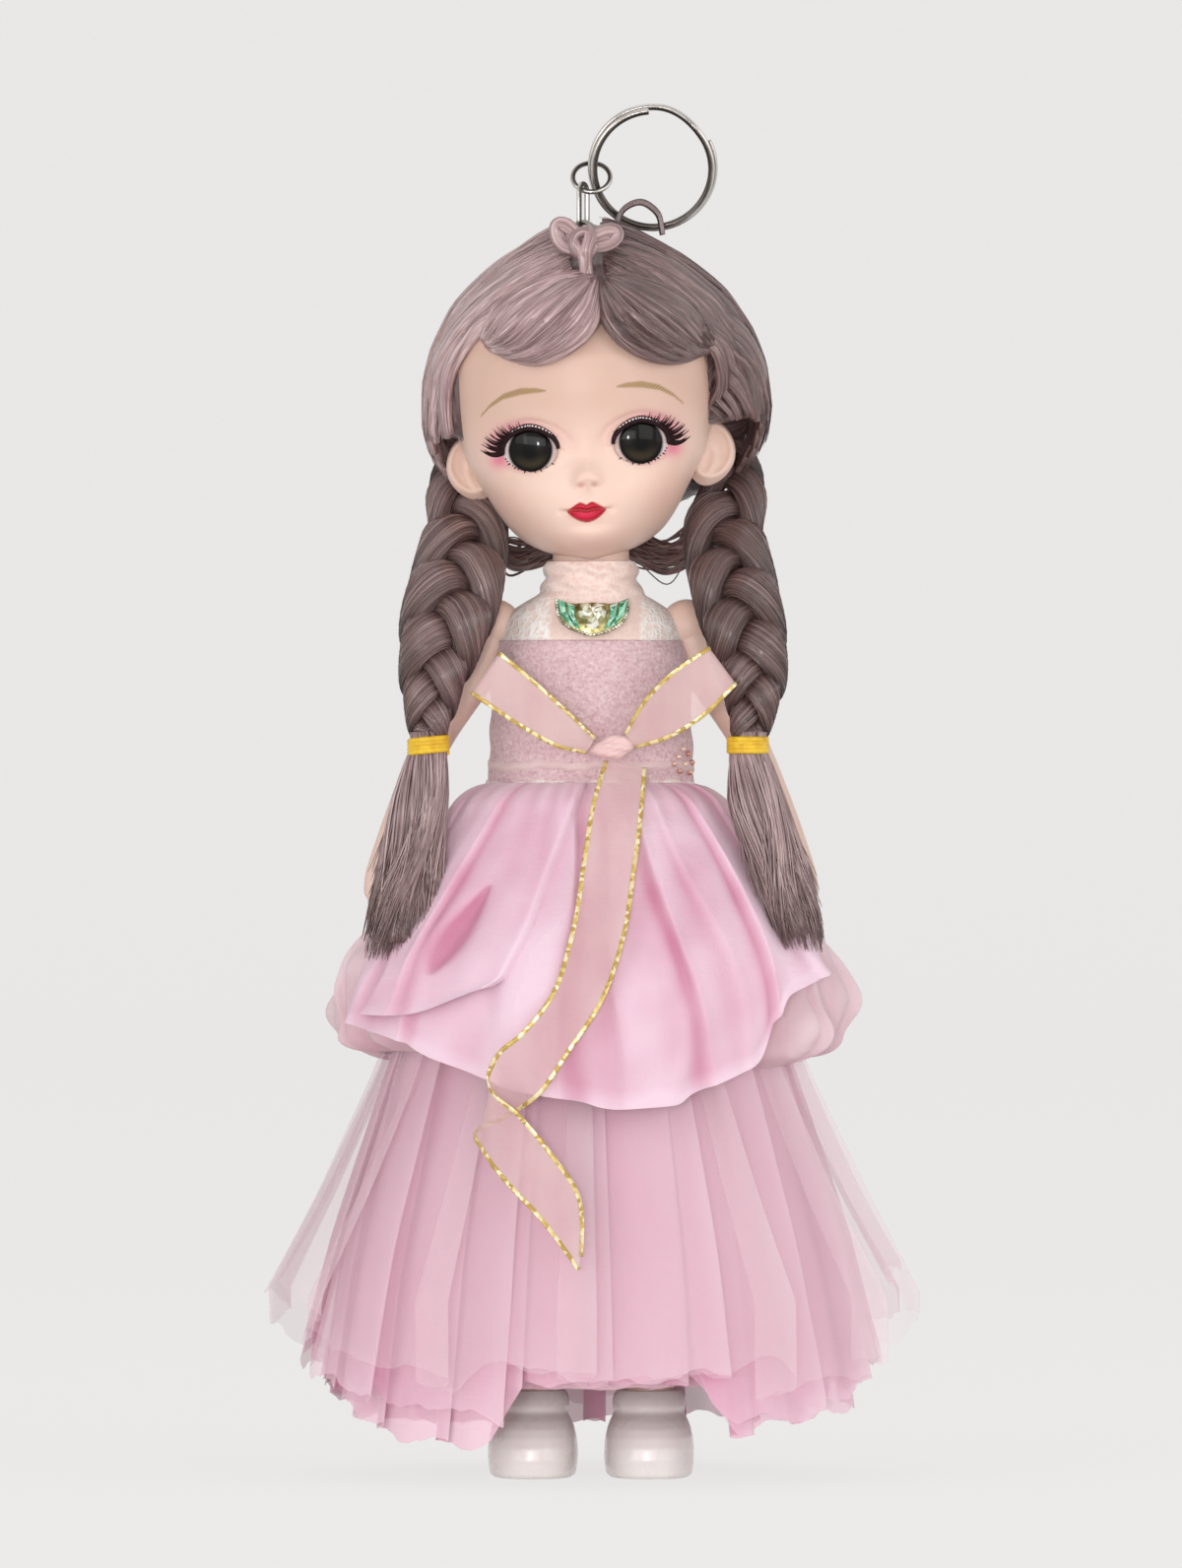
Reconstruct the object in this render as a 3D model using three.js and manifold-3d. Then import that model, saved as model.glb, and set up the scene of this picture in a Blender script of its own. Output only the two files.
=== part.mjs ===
// Doll keychain: a fashion doll in a layered dress, hung by the top of its head from a split ring.
// Millimetres. +Z is up, the doll faces -Y, its right hand side in the photograph is +X,
// and the origin is on the floor under the middle of the skirt.
import * as THREE from 'three';
import { mergeVertices } from 'three/addons/utils/BufferGeometryUtils.js';
import Module from 'manifold-3d';

const wasm = await Module();
wasm.setup();

// Clearances
const fit = 0.3;
const looseFit = 0.4;

// Heights of the body, from the floor
const hipHeight = 84;
const waistHeight = 97;
const shoulderHeight = 118.5;
const bustDrop = 2.3;
const neckLength = 7.6;
const bustHeight = shoulderHeight - bustDrop;
const neckTop = shoulderHeight + neckLength;

// Body
const bodyWall = 1.4;
const hipHalfWidth = 12.4;
const waistHalfWidth = 12.4;
const bustHalfWidth = 12.2;
const waistHalfDepth = 7.0;
const bustHalfDepth = 8.2;
const neckRadius = 5.4;
const hipSpacing = 14;
const ankleSpacing = 16.2;
const thighRadius = 5.5;
const calfRadius = 4.3;
const ankleRadius = 3.5;
const shoulderSpacing = 26.8;
const shoulderBall = 3.7;
const shoulderPegRadius = 1.8;
const handGap = 2.4;
const armDrop = 38;
const upperArmRadius = 3.6;
const wristRadius = 2.3;

// Shoes
const shoeHalfWidth = 6.3;
const shoeHalfLength = 9.4;
const shoeHeight = 12;
const shoeSole = 3;

// Neck joint
const neckPostRadius = 3.4;
const neckFlangeRadius = 5.2;
const neckFlangeHeight = 1.6;

// Head, in its own frame: the origin is the neck pivot and the head leans about Y
const headTilt = THREE.MathUtils.degToRad(-3.4);
const headPivot = new THREE.Vector3(0.2, 0, neckTop + 0.4);
const headHeight = 44.4;
const headHalfWidth = 19.4;
const headFront = 19.4;
const headBack = 20.6;
const headWall = 1.6;
const headHole = 4.4;
const eyeSpacing = 15.4;
const eyeHeight = 17;
const eyeRadius = 4.6;
const eyeProud = 0.5;
const lashThickness = 0.4;
const lashLength = 1.4;
const earHeight = 14.4;
const earSpacing = 35.4;

// Hair
const hairThickness = 4.5;
const hairHeight = headHeight + hairThickness;
const hairHalfWidth = 24;
const hairFront = 22.2;
const hairBack = 24.4;
const hairOffset = 1.9;
const braidHalfWidth = 5.6;
const braidHalfDepth = 4.2;
const strandTurns = 2.5;
const plaitDrop = 17.1;
const elasticHeight = shoulderHeight - plaitDrop;
const elasticRadius = 2.55;
const elasticWire = 0.48;
const elasticPitch = 1.42;
const elasticTurns = 2;
const tailLength = 26;
const loopLockRadius = 0.52;
const knotRadius = 2.4;

// Key ring hardware
const screwEyeRadius = 1.5;
const screwEyeWire = 0.42;
const screwShankRadius = 0.75;
const screwDepth = 7.3;
const screwEyeSink = 1.7;
const linkWire = 0.38;
const linkRadius = 1.3;
const linkLength = 6.5;
const linkTurn = THREE.MathUtils.degToRad(65);
const jumpRadius = 2.62;
const jumpWire = 0.38;
const jumpTilt = THREE.MathUtils.degToRad(-37);
const splitRadius = 8.4;
const splitWidth = 1.2;
const splitThickness = 0.72;
const splitPitch = 1.14;
const splitTilt = THREE.MathUtils.degToRad(14);
const keyX = -1.1;
const keyWellGap = 1.1;

// Dress
const bodiceThickness = 1.35;
const yokeThickness = 0.8;
const clothWall = 0.6;
const layerGap = 0.55;
const skirtHemHalfWidth = 46.3;
const skirtDepthShare = 0.82;
const tulleLength = 71;
const ribbonWidth = 8.3;
const ribbonThickness = 0.5;
const bowTailDrop = 67;
const foldCount = 12;
const foldGrowth = 0.026;
const skirtFlatten = 2.6;

// Geometry helpers

// A vector from three numbers.
function at(x, y, z) {
  return new THREE.Vector3(x, y, z);
}

// A geometry from a list of points and a list of triangles, turned so that its faces point out.
function bodyOf(points, triangles) {
  let volume = 0;
  for (const [a, b, c] of triangles) {
    volume += points[a].dot(new THREE.Vector3().crossVectors(points[b], points[c]));
  }
  const index = triangles.flatMap(([a, b, c]) => (volume > 0 ? [a, b, c] : [a, c, b]));
  const geometry = new THREE.BufferGeometry();
  geometry.setFromPoints(points);
  geometry.setIndex(index);
  return geometry;
}

// A closed body through a list of rings. The ends are closed by fans, or joined when looped is true.
function ringsBody(rings, looped = false) {
  const sides = rings[0].length;
  const points = rings.flat();
  const triangles = [];
  const last = looped ? rings.length : rings.length - 1;
  for (let i = 0; i < last; i++) {
    const low = i * sides;
    const high = ((i + 1) % rings.length) * sides;
    for (let j = 0; j < sides; j++) {
      const k = (j + 1) % sides;
      triangles.push([low + j, low + k, high + k], [low + j, high + k, high + j]);
    }
  }
  if (!looped) {
    for (const start of [0, (rings.length - 1) * sides]) {
      const middle = at(0, 0, 0);
      for (let j = 0; j < sides; j++) {
        middle.addScaledVector(points[start + j], 1 / sides);
      }
      const hub = points.push(middle) - 1;
      for (let j = 0; j < sides; j++) {
        const k = (j + 1) % sides;
        triangles.push(start === 0 ? [hub, start + k, start + j] : [hub, start + j, start + k]);
      }
    }
  }
  return bodyOf(points, triangles);
}

// A thin wall between an outer and an inner grid of points. The columns join up when wrapped is true.
function wallBody(outer, inner, wrapped) {
  const rows = outer.length;
  const columns = outer[0].length;
  const points = [...outer.flat(), ...inner.flat()];
  const offset = rows * columns;
  const triangles = [];
  const quad = (a, b, c, d) => triangles.push([a, b, c], [a, c, d]);
  const spans = wrapped ? columns : columns - 1;
  for (let i = 0; i < rows - 1; i++) {
    for (let j = 0; j < spans; j++) {
      const k = (j + 1) % columns;
      const a = i * columns + j;
      const b = i * columns + k;
      quad(a, b, b + columns, a + columns);
      quad(offset + a + columns, offset + b + columns, offset + b, offset + a);
    }
  }
  for (let j = 0; j < spans; j++) {
    const k = (j + 1) % columns;
    const end = (rows - 1) * columns;
    quad(offset + j, offset + k, k, j);
    quad(end + j, end + k, offset + end + k, offset + end + j);
  }
  if (!wrapped) {
    for (let i = 0; i < rows - 1; i++) {
      const a = i * columns;
      const b = a + columns - 1;
      quad(a, a + columns, offset + a + columns, offset + a);
      quad(offset + b, offset + b + columns, b + columns, b);
    }
  }
  return bodyOf(points, triangles);
}

// A body whose elliptical section runs along a smooth path. sizeAt gives the two half sizes at a share
// of the path, and the first half size lies along the reference direction.
function sweptBody(path, sizeAt, steps, sides, reference) {
  const curve = new THREE.CatmullRomCurve3(path, false, 'centripetal');
  const rings = [];
  for (let i = 0; i <= steps; i++) {
    const share = i / steps;
    const centre = curve.getPoint(share);
    const along = curve.getTangent(share);
    const across = reference.clone().addScaledVector(along, -reference.dot(along)).normalize();
    const deep = new THREE.Vector3().crossVectors(along, across);
    const [wide, thick] = sizeAt(share);
    rings.push(circle(sides).map(([c, s]) => (
      centre.clone().addScaledVector(across, wide * c).addScaledVector(deep, thick * s)
    )));
  }
  return ringsBody(rings);
}

// A round wire along a closed list of points, each with the two directions of its section.
function closedWire(frames, radius, sides) {
  return ringsBody(frames.map(({ centre, first, second }) => circle(sides).map(([c, s]) => (
    centre.clone().addScaledVector(first, radius * c).addScaledVector(second, radius * s)
  ))), true);
}

// The cosines and sines of evenly spaced angles round a circle.
function circle(sides) {
  const pairs = [];
  for (let i = 0; i < sides; i++) {
    const angle = (2 * Math.PI * i) / sides;
    pairs.push([Math.cos(angle), Math.sin(angle)]);
  }
  return pairs;
}

// A stack of rounded outlines. Each row is height, half width, front depth, back depth, and power,
// where 2 is an ellipse and more is squarer. grow widens every outline.
function stack(rows, sides, grow = 0) {
  return ringsBody(rows.map(([z, wide, front, back, power = 2, lift = 0]) => (
    circle(sides).map(([c, s]) => {
      const bend = 2 / power;
      const x = Math.sign(c) * Math.abs(c) ** bend * (wide + grow);
      const depth = s < 0 ? front + grow : back + grow;
      return at(x, Math.sign(s) * Math.abs(s) ** bend * depth, z + grow * lift);
    })
  )));
}

// Booleans

function toSolid(geometry) {
  const bare = geometry.clone();
  bare.deleteAttribute('normal');
  bare.deleteAttribute('uv');
  const merged = mergeVertices(bare, 1e-4);
  const mesh = new wasm.Mesh({
    numProp: 3,
    vertProperties: new Float32Array(merged.attributes.position.array),
    triVerts: new Uint32Array(merged.index.array),
  });
  return new wasm.Manifold(mesh);
}

function fromSolid(solid) {
  const { vertProperties, triVerts } = solid.getMesh();
  const geometry = new THREE.BufferGeometry();
  geometry.setAttribute('position', new THREE.BufferAttribute(new Float32Array(vertProperties), 3));
  geometry.setIndex(new THREE.BufferAttribute(new Uint32Array(triVerts), 1));
  return geometry;
}

// The first geometry without the others.
function cut(geometry, ...others) {
  let solid = toSolid(geometry);
  for (const other of others) {
    solid = solid.subtract(toSolid(other));
  }
  return fromSolid(solid);
}

// All geometries joined in one.
function join(geometry, ...others) {
  let solid = toSolid(geometry);
  for (const other of others) {
    solid = solid.add(toSolid(other));
  }
  return fromSolid(solid);
}

// What two geometries share.
function common(geometry, other) {
  return fromSolid(toSolid(geometry).intersect(toSolid(other)));
}

function ball(radius, centre, round = 16, tall = 12) {
  return new THREE.SphereGeometry(radius, round, tall).translate(centre.x, centre.y, centre.z);
}

function post(radius, low, high, sides = 16) {
  return new THREE.CylinderGeometry(radius, radius, high - low, sides)
    .rotateX(Math.PI / 2)
    .translate(0, 0, (low + high) / 2);
}

function block(low, high) {
  const size = high.clone().sub(low);
  const centre = low.clone().add(high).multiplyScalar(0.5);
  return new THREE.BoxGeometry(size.x, size.y, size.z).translate(centre.x, centre.y, centre.z);
}

const farAway = 200;

// Everything between two heights.
function slab(low, high) {
  return block(at(-farAway, -farAway, low), at(farAway, farAway, high));
}

// The smallest distance between the surfaces of turns that pass each other, from their middle lines.
function leastGap(points, thickness, away) {
  let least = Infinity;
  for (let i = 0; i < points.length; i++) {
    for (let j = i + away; j < points.length; j++) {
      least = Math.min(least, points[i].distanceTo(points[j]) - thickness);
    }
  }
  return least;
}

// Object

const doll = new THREE.Group();

function add(parent, name, geometry, color, roughness, metalness = 0) {
  const material = new THREE.MeshStandardMaterial({ color, roughness, metalness });
  const mesh = new THREE.Mesh(geometry, material);
  mesh.name = name;
  parent.add(mesh);
  return mesh;
}

const skinColor = 0xe8c8b6;
const hairColor = 0x967d80;
const pinkColor = 0xe1aac8;
const laceColor = 0xf0e6da;
const ribbonColor = 0xe9bdc4;
const goldColor = 0xcdaa50;
const steelColor = 0x8a8680;
const shoeColor = 0xe6deda;

// Skirt layers. flare gives how far a layer has spread from the waist towards the widest hem, at
// drops that are shares of the tulle's length, and hem is the drop of its edge at a turn.
const skirtTop = waistHeight - 0.4;
const waistOut = waistHalfWidth + 1.4;
const layerStep = clothWall + layerGap;
const layers = {
  lining: {
    step: 0,
    flare: [[0, 0], [0.169, 0.08], [0.563, 0.295], [1.183, 0.486]],
    hem: () => 1.176,
    folds: 0,
  },
  tulle_inner: {
    step: 1,
    flare: [[0, 0], [0.169, 0.116], [0.563, 0.397], [0.944, 0.624], [1.282, 0.742]],
    hem: (turn) => 1.282 - 0.113 * Math.exp(-((turn / 0.28) ** 2)) - 0.113 * Math.sin(turn) ** 8,
    folds: 1,
  },
  tulle_outer: {
    step: 2,
    flare: [[0, 0], [0.169, 0.136], [0.38, 0.315], [0.563, 0.467], [0.803, 0.742], [1, 1]],
    hem: () => 1,
    folds: 1,
  },
  overskirt: {
    step: 3,
    flare: [[0, 0], [0.113, 0.184], [0.211, 0.346], [0.338, 0.542], [0.423, 0.632], [0.507, 0.611],
      [0.563, 0.528]],
    hem: () => 0.563,
    folds: 1,
  },
  overskirt_drape: {
    step: 4,
    flare: [[0, 0], [0.113, 0.208], [0.211, 0.38], [0.338, 0.588], [0.423, 0.674], [0.507, 0.674],
      [0.648, 0.631]],
    hem: (turn) => 0.628 - 0.169 * Math.abs(turn) ** 2.2 - 0.099 * Math.max(0, turn) ** 2,
    folds: 1,
  },
};

// The half width of a layer at a drop below the waist.
function layerWidth(layer, drop) {
  const [spread] = blend(layer.flare, drop / tulleLength);
  return THREE.MathUtils.lerp(waistOut + layer.step * layerStep, skirtHemHalfWidth, spread);
}

// The half depth that goes with a half width. The skirt lies flatter near the waist.
function layerDepth(wide, drop) {
  return wide * skirtDepthShare - skirtFlatten * Math.max(0, 1 - drop / tulleLength);
}

// Values between the rows of a table whose first column rises, joined by straight steps.
function blend(table, share) {
  let i = 0;
  while (i < table.length - 2 && share > table[i + 1][0]) {
    i += 1;
  }
  const [low, high] = [table[i], table[i + 1]];
  const along = THREE.MathUtils.clamp((share - low[0]) / (high[0] - low[0]), 0, 1);
  return low.slice(1).map((value, k) => THREE.MathUtils.lerp(value, high[k + 1], along));
}

// Body: two hollow halves, a neck post, arms on pegs and legs on balls

const torsoRows = [
  [hipHeight - 1, hipHalfWidth - 1, waistHalfDepth - 0.6, waistHalfDepth],
  [hipHeight + 4, hipHalfWidth, waistHalfDepth + 0.2, waistHalfDepth + 1.2],
  [waistHeight, waistHalfWidth, waistHalfDepth, waistHalfDepth],
  [(waistHeight + bustHeight) / 2, bustHalfWidth - 0.2, bustHalfDepth - 0.4, bustHalfDepth - 0.8],
  [bustHeight, bustHalfWidth, bustHalfDepth, bustHalfDepth - 0.6],
  [shoulderHeight + 1, bustHalfWidth - 0.6, bustHalfDepth - 1, bustHalfDepth - 1, 2, 0.5],
  [shoulderHeight + 3, bustHalfWidth - 3.4, bustHalfDepth - 2, bustHalfDepth - 2, 2, 0.8],
  [shoulderHeight + 4.6, neckRadius + 0.4, neckRadius + 0.1, neckRadius + 0.1, 2, 0.9],
  [neckTop, neckRadius, neckRadius, neckRadius],
];
const torsoSides = 14;

function torsoSolid(grow) {
  return stack(torsoRows, torsoSides, grow);
}

const shoulders = [-1, 1].map((side) => at((side * shoulderSpacing) / 2, 0, shoulderHeight));
const hips = [-1, 1].map((side) => at((side * hipSpacing) / 2, 0, hipHeight));

function torso() {
  const shoulderPeg = new THREE.CylinderGeometry(
    shoulderPegRadius + looseFit, shoulderPegRadius + looseFit, shoulderSpacing, 12,
  ).rotateZ(Math.PI / 2).translate(0, 0, shoulderHeight);
  const hollow = slab(hipHeight + thighRadius + 2, shoulderHeight + 2);
  const inside = common(stack(torsoRows, torsoSides - 2, -bodyWall), hollow);
  const neckBore = post(neckPostRadius + fit, waistHeight, neckTop + 1);
  const shell = cut(
    torsoSolid(0), inside, neckBore, shoulderPeg,
    ...shoulders.map((centre) => ball(shoulderBall + looseFit, centre)),
    ...hips.map((centre) => ball(thighRadius + looseFit, centre)),
  );
  return {
    front: common(shell, block(at(-farAway, -farAway, 0), at(farAway, -fit / 2, farAway))),
    back: common(shell, block(at(-farAway, fit / 2, 0), at(farAway, farAway, farAway))),
  };
}

const torsoShell = torso();
add(doll, 'torso_front', torsoShell.front, skinColor, 0.5);
add(doll, 'torso_back', torsoShell.back, skinColor, 0.5);

function neckPost() {
  const foot = neckTop - 7;
  const flangeLow = headPivot.z + headWall + 1.1;
  return new THREE.LatheGeometry([
    new THREE.Vector2(0, foot),
    new THREE.Vector2(neckPostRadius, foot),
    new THREE.Vector2(neckPostRadius, flangeLow),
    new THREE.Vector2(neckFlangeRadius, flangeLow + 0.4),
    new THREE.Vector2(neckFlangeRadius - 0.6, flangeLow + neckFlangeHeight),
    new THREE.Vector2(0, flangeLow + neckFlangeHeight + 0.4),
  ], 20).rotateX(Math.PI / 2);
}

add(doll, 'neck_post', neckPost(), 0xe9e2da, 0.5);

// The hand hangs just outside the overskirt.
const handDrop = skirtTop - shoulderHeight + armDrop;
const armReach = layerWidth(layers.overskirt, handDrop) + handGap - shoulderSpacing / 2;

function arm(side) {
  const shoulder = at((side * shoulderSpacing) / 2, 0, shoulderHeight);
  const elbow = shoulder.clone().add(at(side * armReach * 0.5, 0.6, -armDrop * 0.42));
  const wrist = shoulder.clone().add(at(side * armReach * 0.88, 0, -armDrop * 0.82));
  const finger = shoulder.clone().add(at(side * armReach, -0.4, -armDrop - shoulderBall * 0.2));
  const palm = wrist.clone().lerp(finger, 0.55);
  const sizes = [
    [0, shoulderBall * 0.8, shoulderBall * 0.9],
    [0.25, upperArmRadius * 0.9, upperArmRadius],
    [0.5, upperArmRadius * 0.78, upperArmRadius * 0.86],
    [0.75, wristRadius, wristRadius * 1.05],
    [0.88, wristRadius * 0.9, wristRadius * 1.5],
    [1, wristRadius * 0.35, wristRadius * 0.55],
  ];
  const bones = [shoulder, elbow, wrist, palm, finger];
  const limb = sweptBody(bones, (t) => blend(sizes, t), 10, 8, at(1, 0, 0));
  const peg = new THREE.CylinderGeometry(shoulderPegRadius, shoulderPegRadius, 6, 8)
    .rotateZ(Math.PI / 2)
    .translate(shoulder.x - side * 4.2, 0, shoulder.z);
  return join(ball(shoulderBall, shoulder, 12, 8), limb, peg);
}

function legRows(side, grow) {
  const table = [
    [0, thighRadius * 0.98, 0],
    [0.08, thighRadius * 0.94, 0.1],
    [0.3, (thighRadius + calfRadius) / 2, 0.3],
    [0.52, calfRadius * 0.95, 0.55],
    [0.7, calfRadius, 0.75],
    [0.9, ankleRadius, 1],
    [1, ankleRadius * 0.95, 1],
  ];
  return table.map(([share, radius, lean]) => {
    const z = THREE.MathUtils.lerp(hipHeight, shoeSole - grow, share);
    const x = (side / 2) * THREE.MathUtils.lerp(hipSpacing, ankleSpacing, lean);
    return circle(10).map(([c, s]) => at(x + (radius + grow) * c, (radius + grow) * s, z));
  });
}

function leg(side) {
  const hip = at((side * hipSpacing) / 2, 0, hipHeight);
  return join(ringsBody(legRows(side, 0)), ball(thighRadius, hip, 12, 8));
}

function shoe(side) {
  const x = (side * ankleSpacing) / 2;
  const rows = [
    [0, 0.88, 0.9, 0],
    [0.04, 0.97, 0.98, 0],
    [0.3, 1, 1, 0],
    [0.52, 0.96, 0.93, 0.1],
    [0.66, 0.86, 0.8, 0.3],
    [0.76, 0.8, 0.68, 0.7],
    [0.8, 0.83, 0.64, 0.9],
    [0.9, 0.84, 0.62, 1],
    [1, 0.8, 0.58, 1],
  ];
  const rings = rows.map(([share, wide, long, back]) => circle(14).map(([c, s]) => at(
    x + shoeHalfWidth * wide * c,
    shoeHalfLength * long * s - 2.4 * (1 - back),
    shoeHeight * share,
  )));
  return cut(ringsBody(rings), ringsBody(legRows(side, fit)));
}

for (const [side, name] of [[-1, 'left'], [1, 'right']]) {
  add(doll, `arm_${name}`, arm(side), skinColor, 0.5);
  add(doll, `leg_${name}`, leg(side), skinColor, 0.5);
  add(doll, `shoe_${name}`, shoe(side), shoeColor, 0.35);
}

// Head: a hollow vinyl shell with eyes, lashes and hair, in a frame that leans about the neck pivot

// Places given in the doll's frame, brought into the head's own frame.
function inHead(place) {
  return place.clone().sub(headPivot).applyAxisAngle(at(0, 1, 0), -headTilt);
}

const head = new THREE.Group();
head.position.copy(headPivot);
head.rotation.y = headTilt;
doll.add(head);

const headRows = [
  [0.1, 6.4, 6.4, 6.4],
  [0.9, 7.8, 9.5, 8.2],
  [1.6, 8.6, 13.6, 9.2],
  [4.8, 11.0, 17.0, 12.4],
  [8.2, 13.5, 18.0, 14.8, 2.15],
  [11.6, 15.3, 18.2, 17, 2.3],
  [15, 16.8, 17.9, 18.8, 2.4],
  [19, 17.7, 18.3, 20, 2.3],
  [24, headHalfWidth - 0.6, headFront - 0.2, headBack],
  [29, headHalfWidth, headFront, headBack],
  [34, headHalfWidth - 1, headFront - 1.4, headBack - 1.2],
  [headHeight - 6.8, headHalfWidth - 4, headFront - 4.6, headBack - 4.6],
  [headHeight - 3.4, headHalfWidth - 8.2, headFront - 8.6, headBack - 8.8],
  [headHeight - 1.1, headHalfWidth - 13.6, headFront - 13.6, headBack - 14.2],
  [headHeight, 2, 2, 2],
];
const headSides = 20;

function headSolid(grow) {
  const rows = headRows.map(([z, wide, front, back, power = 2], i) => {
    const slope = i === 0 ? -1 : Math.max(0, (z - headHeight * 0.6) / (headHeight * 0.4));
    return [z, wide, front, back, power, Math.sign(slope) * slope * slope];
  });
  return stack(rows, headSides, grow);
}

const eyes = [-1, 1].map((side) => at((side * eyeSpacing) / 2, eyeRadius - eyeProud - 17.2, eyeHeight));

function earPair(grow) {
  return [-1, 1].map((side) => new THREE.SphereGeometry(1, 9, 7)
    .scale(3.6 + grow, 1.5 + grow, 4.6 + grow)
    .rotateY(side * 0.25)
    .translate((side * earSpacing) / 2, 1.2, earHeight));
}

function headShell() {
  const ears = earPair(0);
  const nose = new THREE.SphereGeometry(1, 8, 6).scale(1.7, 1.5, 1.9).translate(0, -18.3, 12.2);
  const hollow = headRows.filter((row, i) => i % 2 === 0);
  const between = slab(headRows[0][0] + headWall, headHeight - headWall);
  const inside = common(stack(hollow, headSides - 6, -headWall), between);
  const hole = post(headHole, -1, 5, 14);
  const screwHole = post(screwShankRadius + fit, headHeight - 6, headHeight + 2, 10)
    .translate(screwPlace.x, screwPlace.y, 0);
  const sockets = eyes.map((centre) => ball(eyeRadius + fit, centre, 12, 8));
  return cut(join(headSolid(0), ...ears, nose), inside, hole, screwHole, ...sockets);
}

// The screw eye stands under the middle of the link, whose place is set in the doll's frame.
const crown = headPivot.z + hairHeight;
const linkFoot = at(keyX, 0, crown - screwEyeSink);
const screwRing = linkFoot.clone().add(at(0, 0, linkWire + screwEyeWire + fit - screwEyeRadius));
const screwPlace = inHead(screwRing);

add(head, 'head_shell', headShell(), skinColor, 0.45);
for (const [i, name] of [[0, 'left'], [1, 'right']]) {
  add(head, `eye_${name}`, ball(eyeRadius, eyes[i], 12, 8), 0x2a2624, 0.1);
}

// Upper lashes: a thin fringe that runs over the eye along the lid.
function lash(centre) {
  const outer = [];
  const inner = [];
  const spread = 8;
  for (const reach of [0, 1]) {
    const rowOuter = [];
    const rowInner = [];
    for (let i = 0; i <= spread; i++) {
      const angle = THREE.MathUtils.lerp(0.12, 0.88, i / spread) * Math.PI;
      const x = Math.cos(angle);
      const z = Math.sin(angle);
      const wide = eyeRadius * 0.82 + reach * lashLength;
      const y = -18.9 + Math.abs(x) * 1.6 - reach * 0.9;
      const place = at(centre.x + x * wide, y, centre.z + z * (wide - 0.7));
      rowOuter.push(place);
      rowInner.push(place.clone().add(at(0, lashThickness, 0)));
    }
    outer.push(rowOuter);
    inner.push(rowInner);
  }
  return cut(wallBody(outer, inner, false), headSolid(fit / 3), ball(eyeRadius + fit / 3, centre, 12, 8));
}

for (const [i, name] of [[0, 'left'], [1, 'right']]) {
  add(head, `lash_${name}`, lash(eyes[i]), 0x2b1a18, 0.7);
}

// Hair: the rooted mass, the swept fringe, the knot on top, the loop, the plaits and their ends

const hairRows = [
  [6.5, 13, 9, 14],
  [8.5, 17, 12, 17.5],
  [12, 20.6, 17, 21],
  [16, 23, 20.6, 23],
  [21, hairHalfWidth, hairFront, hairBack],
  [27, hairHalfWidth - 0.4, hairFront, hairBack],
  [32, hairHalfWidth - 2, hairFront - 1, hairBack - 1],
  [37.5, hairHalfWidth - 5.2, hairFront - 3.4, hairBack - 3.6],
  [hairHeight - 8.7, hairHalfWidth - 8, hairFront - 6, hairBack - 6.4],
  [hairHeight - 5.9, hairHalfWidth - 11.4, hairFront - 9, hairBack - 9.4],
  [hairHeight - 3.7, hairHalfWidth - 15.2, hairFront - 12.4, hairBack - 13],
  [hairHeight - 2, hairHalfWidth - 17.6, hairFront - 15.6, hairBack - 16.6],
  [hairHeight - 0.6, hairHalfWidth - 21, hairFront - 19, hairBack - 20.6],
  [hairHeight, 1, 1, 1],
];

function hairSolid(grow) {
  const rows = hairRows.map(([z, wide, front, back]) => {
    const rise = Math.max(0, (z - hairHeight * 0.55) / (hairHeight * 0.45));
    return [z, wide, front, back, 2, rise * rise];
  });
  return stack(rows, 20, grow).translate(hairOffset, 0, 0);
}

function faceOpening() {
  const hairline = new THREE.Shape();
  hairline.moveTo(-18.4, -10);
  hairline.lineTo(-17.6, 20);
  hairline.quadraticCurveTo(-16.5, 31, -7, 34.5);
  hairline.quadraticCurveTo(0, 36.5, 7, 34.5);
  hairline.quadraticCurveTo(16.5, 32, 18, 22);
  hairline.lineTo(19.4, -10);
  return new THREE.ExtrudeGeometry(hairline, { depth: 40, bevelEnabled: false, curveSegments: 6 })
    .rotateX(Math.PI / 2);
}

const keyWell = post(linkRadius + linkWire + keyWellGap, headHeight - 2, hairHeight + 4, 12)
  .translate(screwPlace.x, screwPlace.y, 0);

function hairCap() {
  const earSpace = block(at(-farAway, -farAway, -farAway), at(farAway, 3.2, earHeight + 5));
  return cut(hairSolid(0), headSolid(fit), faceOpening(), earSpace, keyWell);
}

add(head, 'hair_cap', hairCap(), hairColor, 0.5);

// The fringe: two swept locks that part above the forehead.
const bangTop = hairHeight - 6.4;

function bang(side) {
  const path = side < 0
    ? [at(-0.5, -12.5, bangTop), at(-6.5, -17.5, bangTop - 4), at(-12, -18.5, 32.5), at(-15.5, -15.2, 28)]
    : [at(1.5, -12.5, bangTop), at(8, -17, bangTop - 4), at(14, -16.8, 32.5), at(17.6, -12, 28.5)];
  const sizes = [[0, 1.4, 1.2], [0.35, 4.4, 3.4], [0.7, 4.8, 3.8], [1, 1.8, 1.4]];
  const lock = sweptBody(path, (t) => blend(sizes, t), 8, 9, at(0, 0, 1));
  return cut(lock, headSolid(fit), hairSolid(fit));
}

const parting = 0.7;
const rightOfParting = block(at(parting - fit / 2, -farAway, 0), at(farAway, farAway, farAway));
const leftOfParting = block(at(-farAway, -farAway, 0), at(parting + fit / 2, farAway, farAway));
add(head, 'bang_left', cut(bang(-1), rightOfParting), hairColor, 0.5);
add(head, 'bang_right', cut(bang(1), leftOfParting), hairColor, 0.5);

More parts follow.
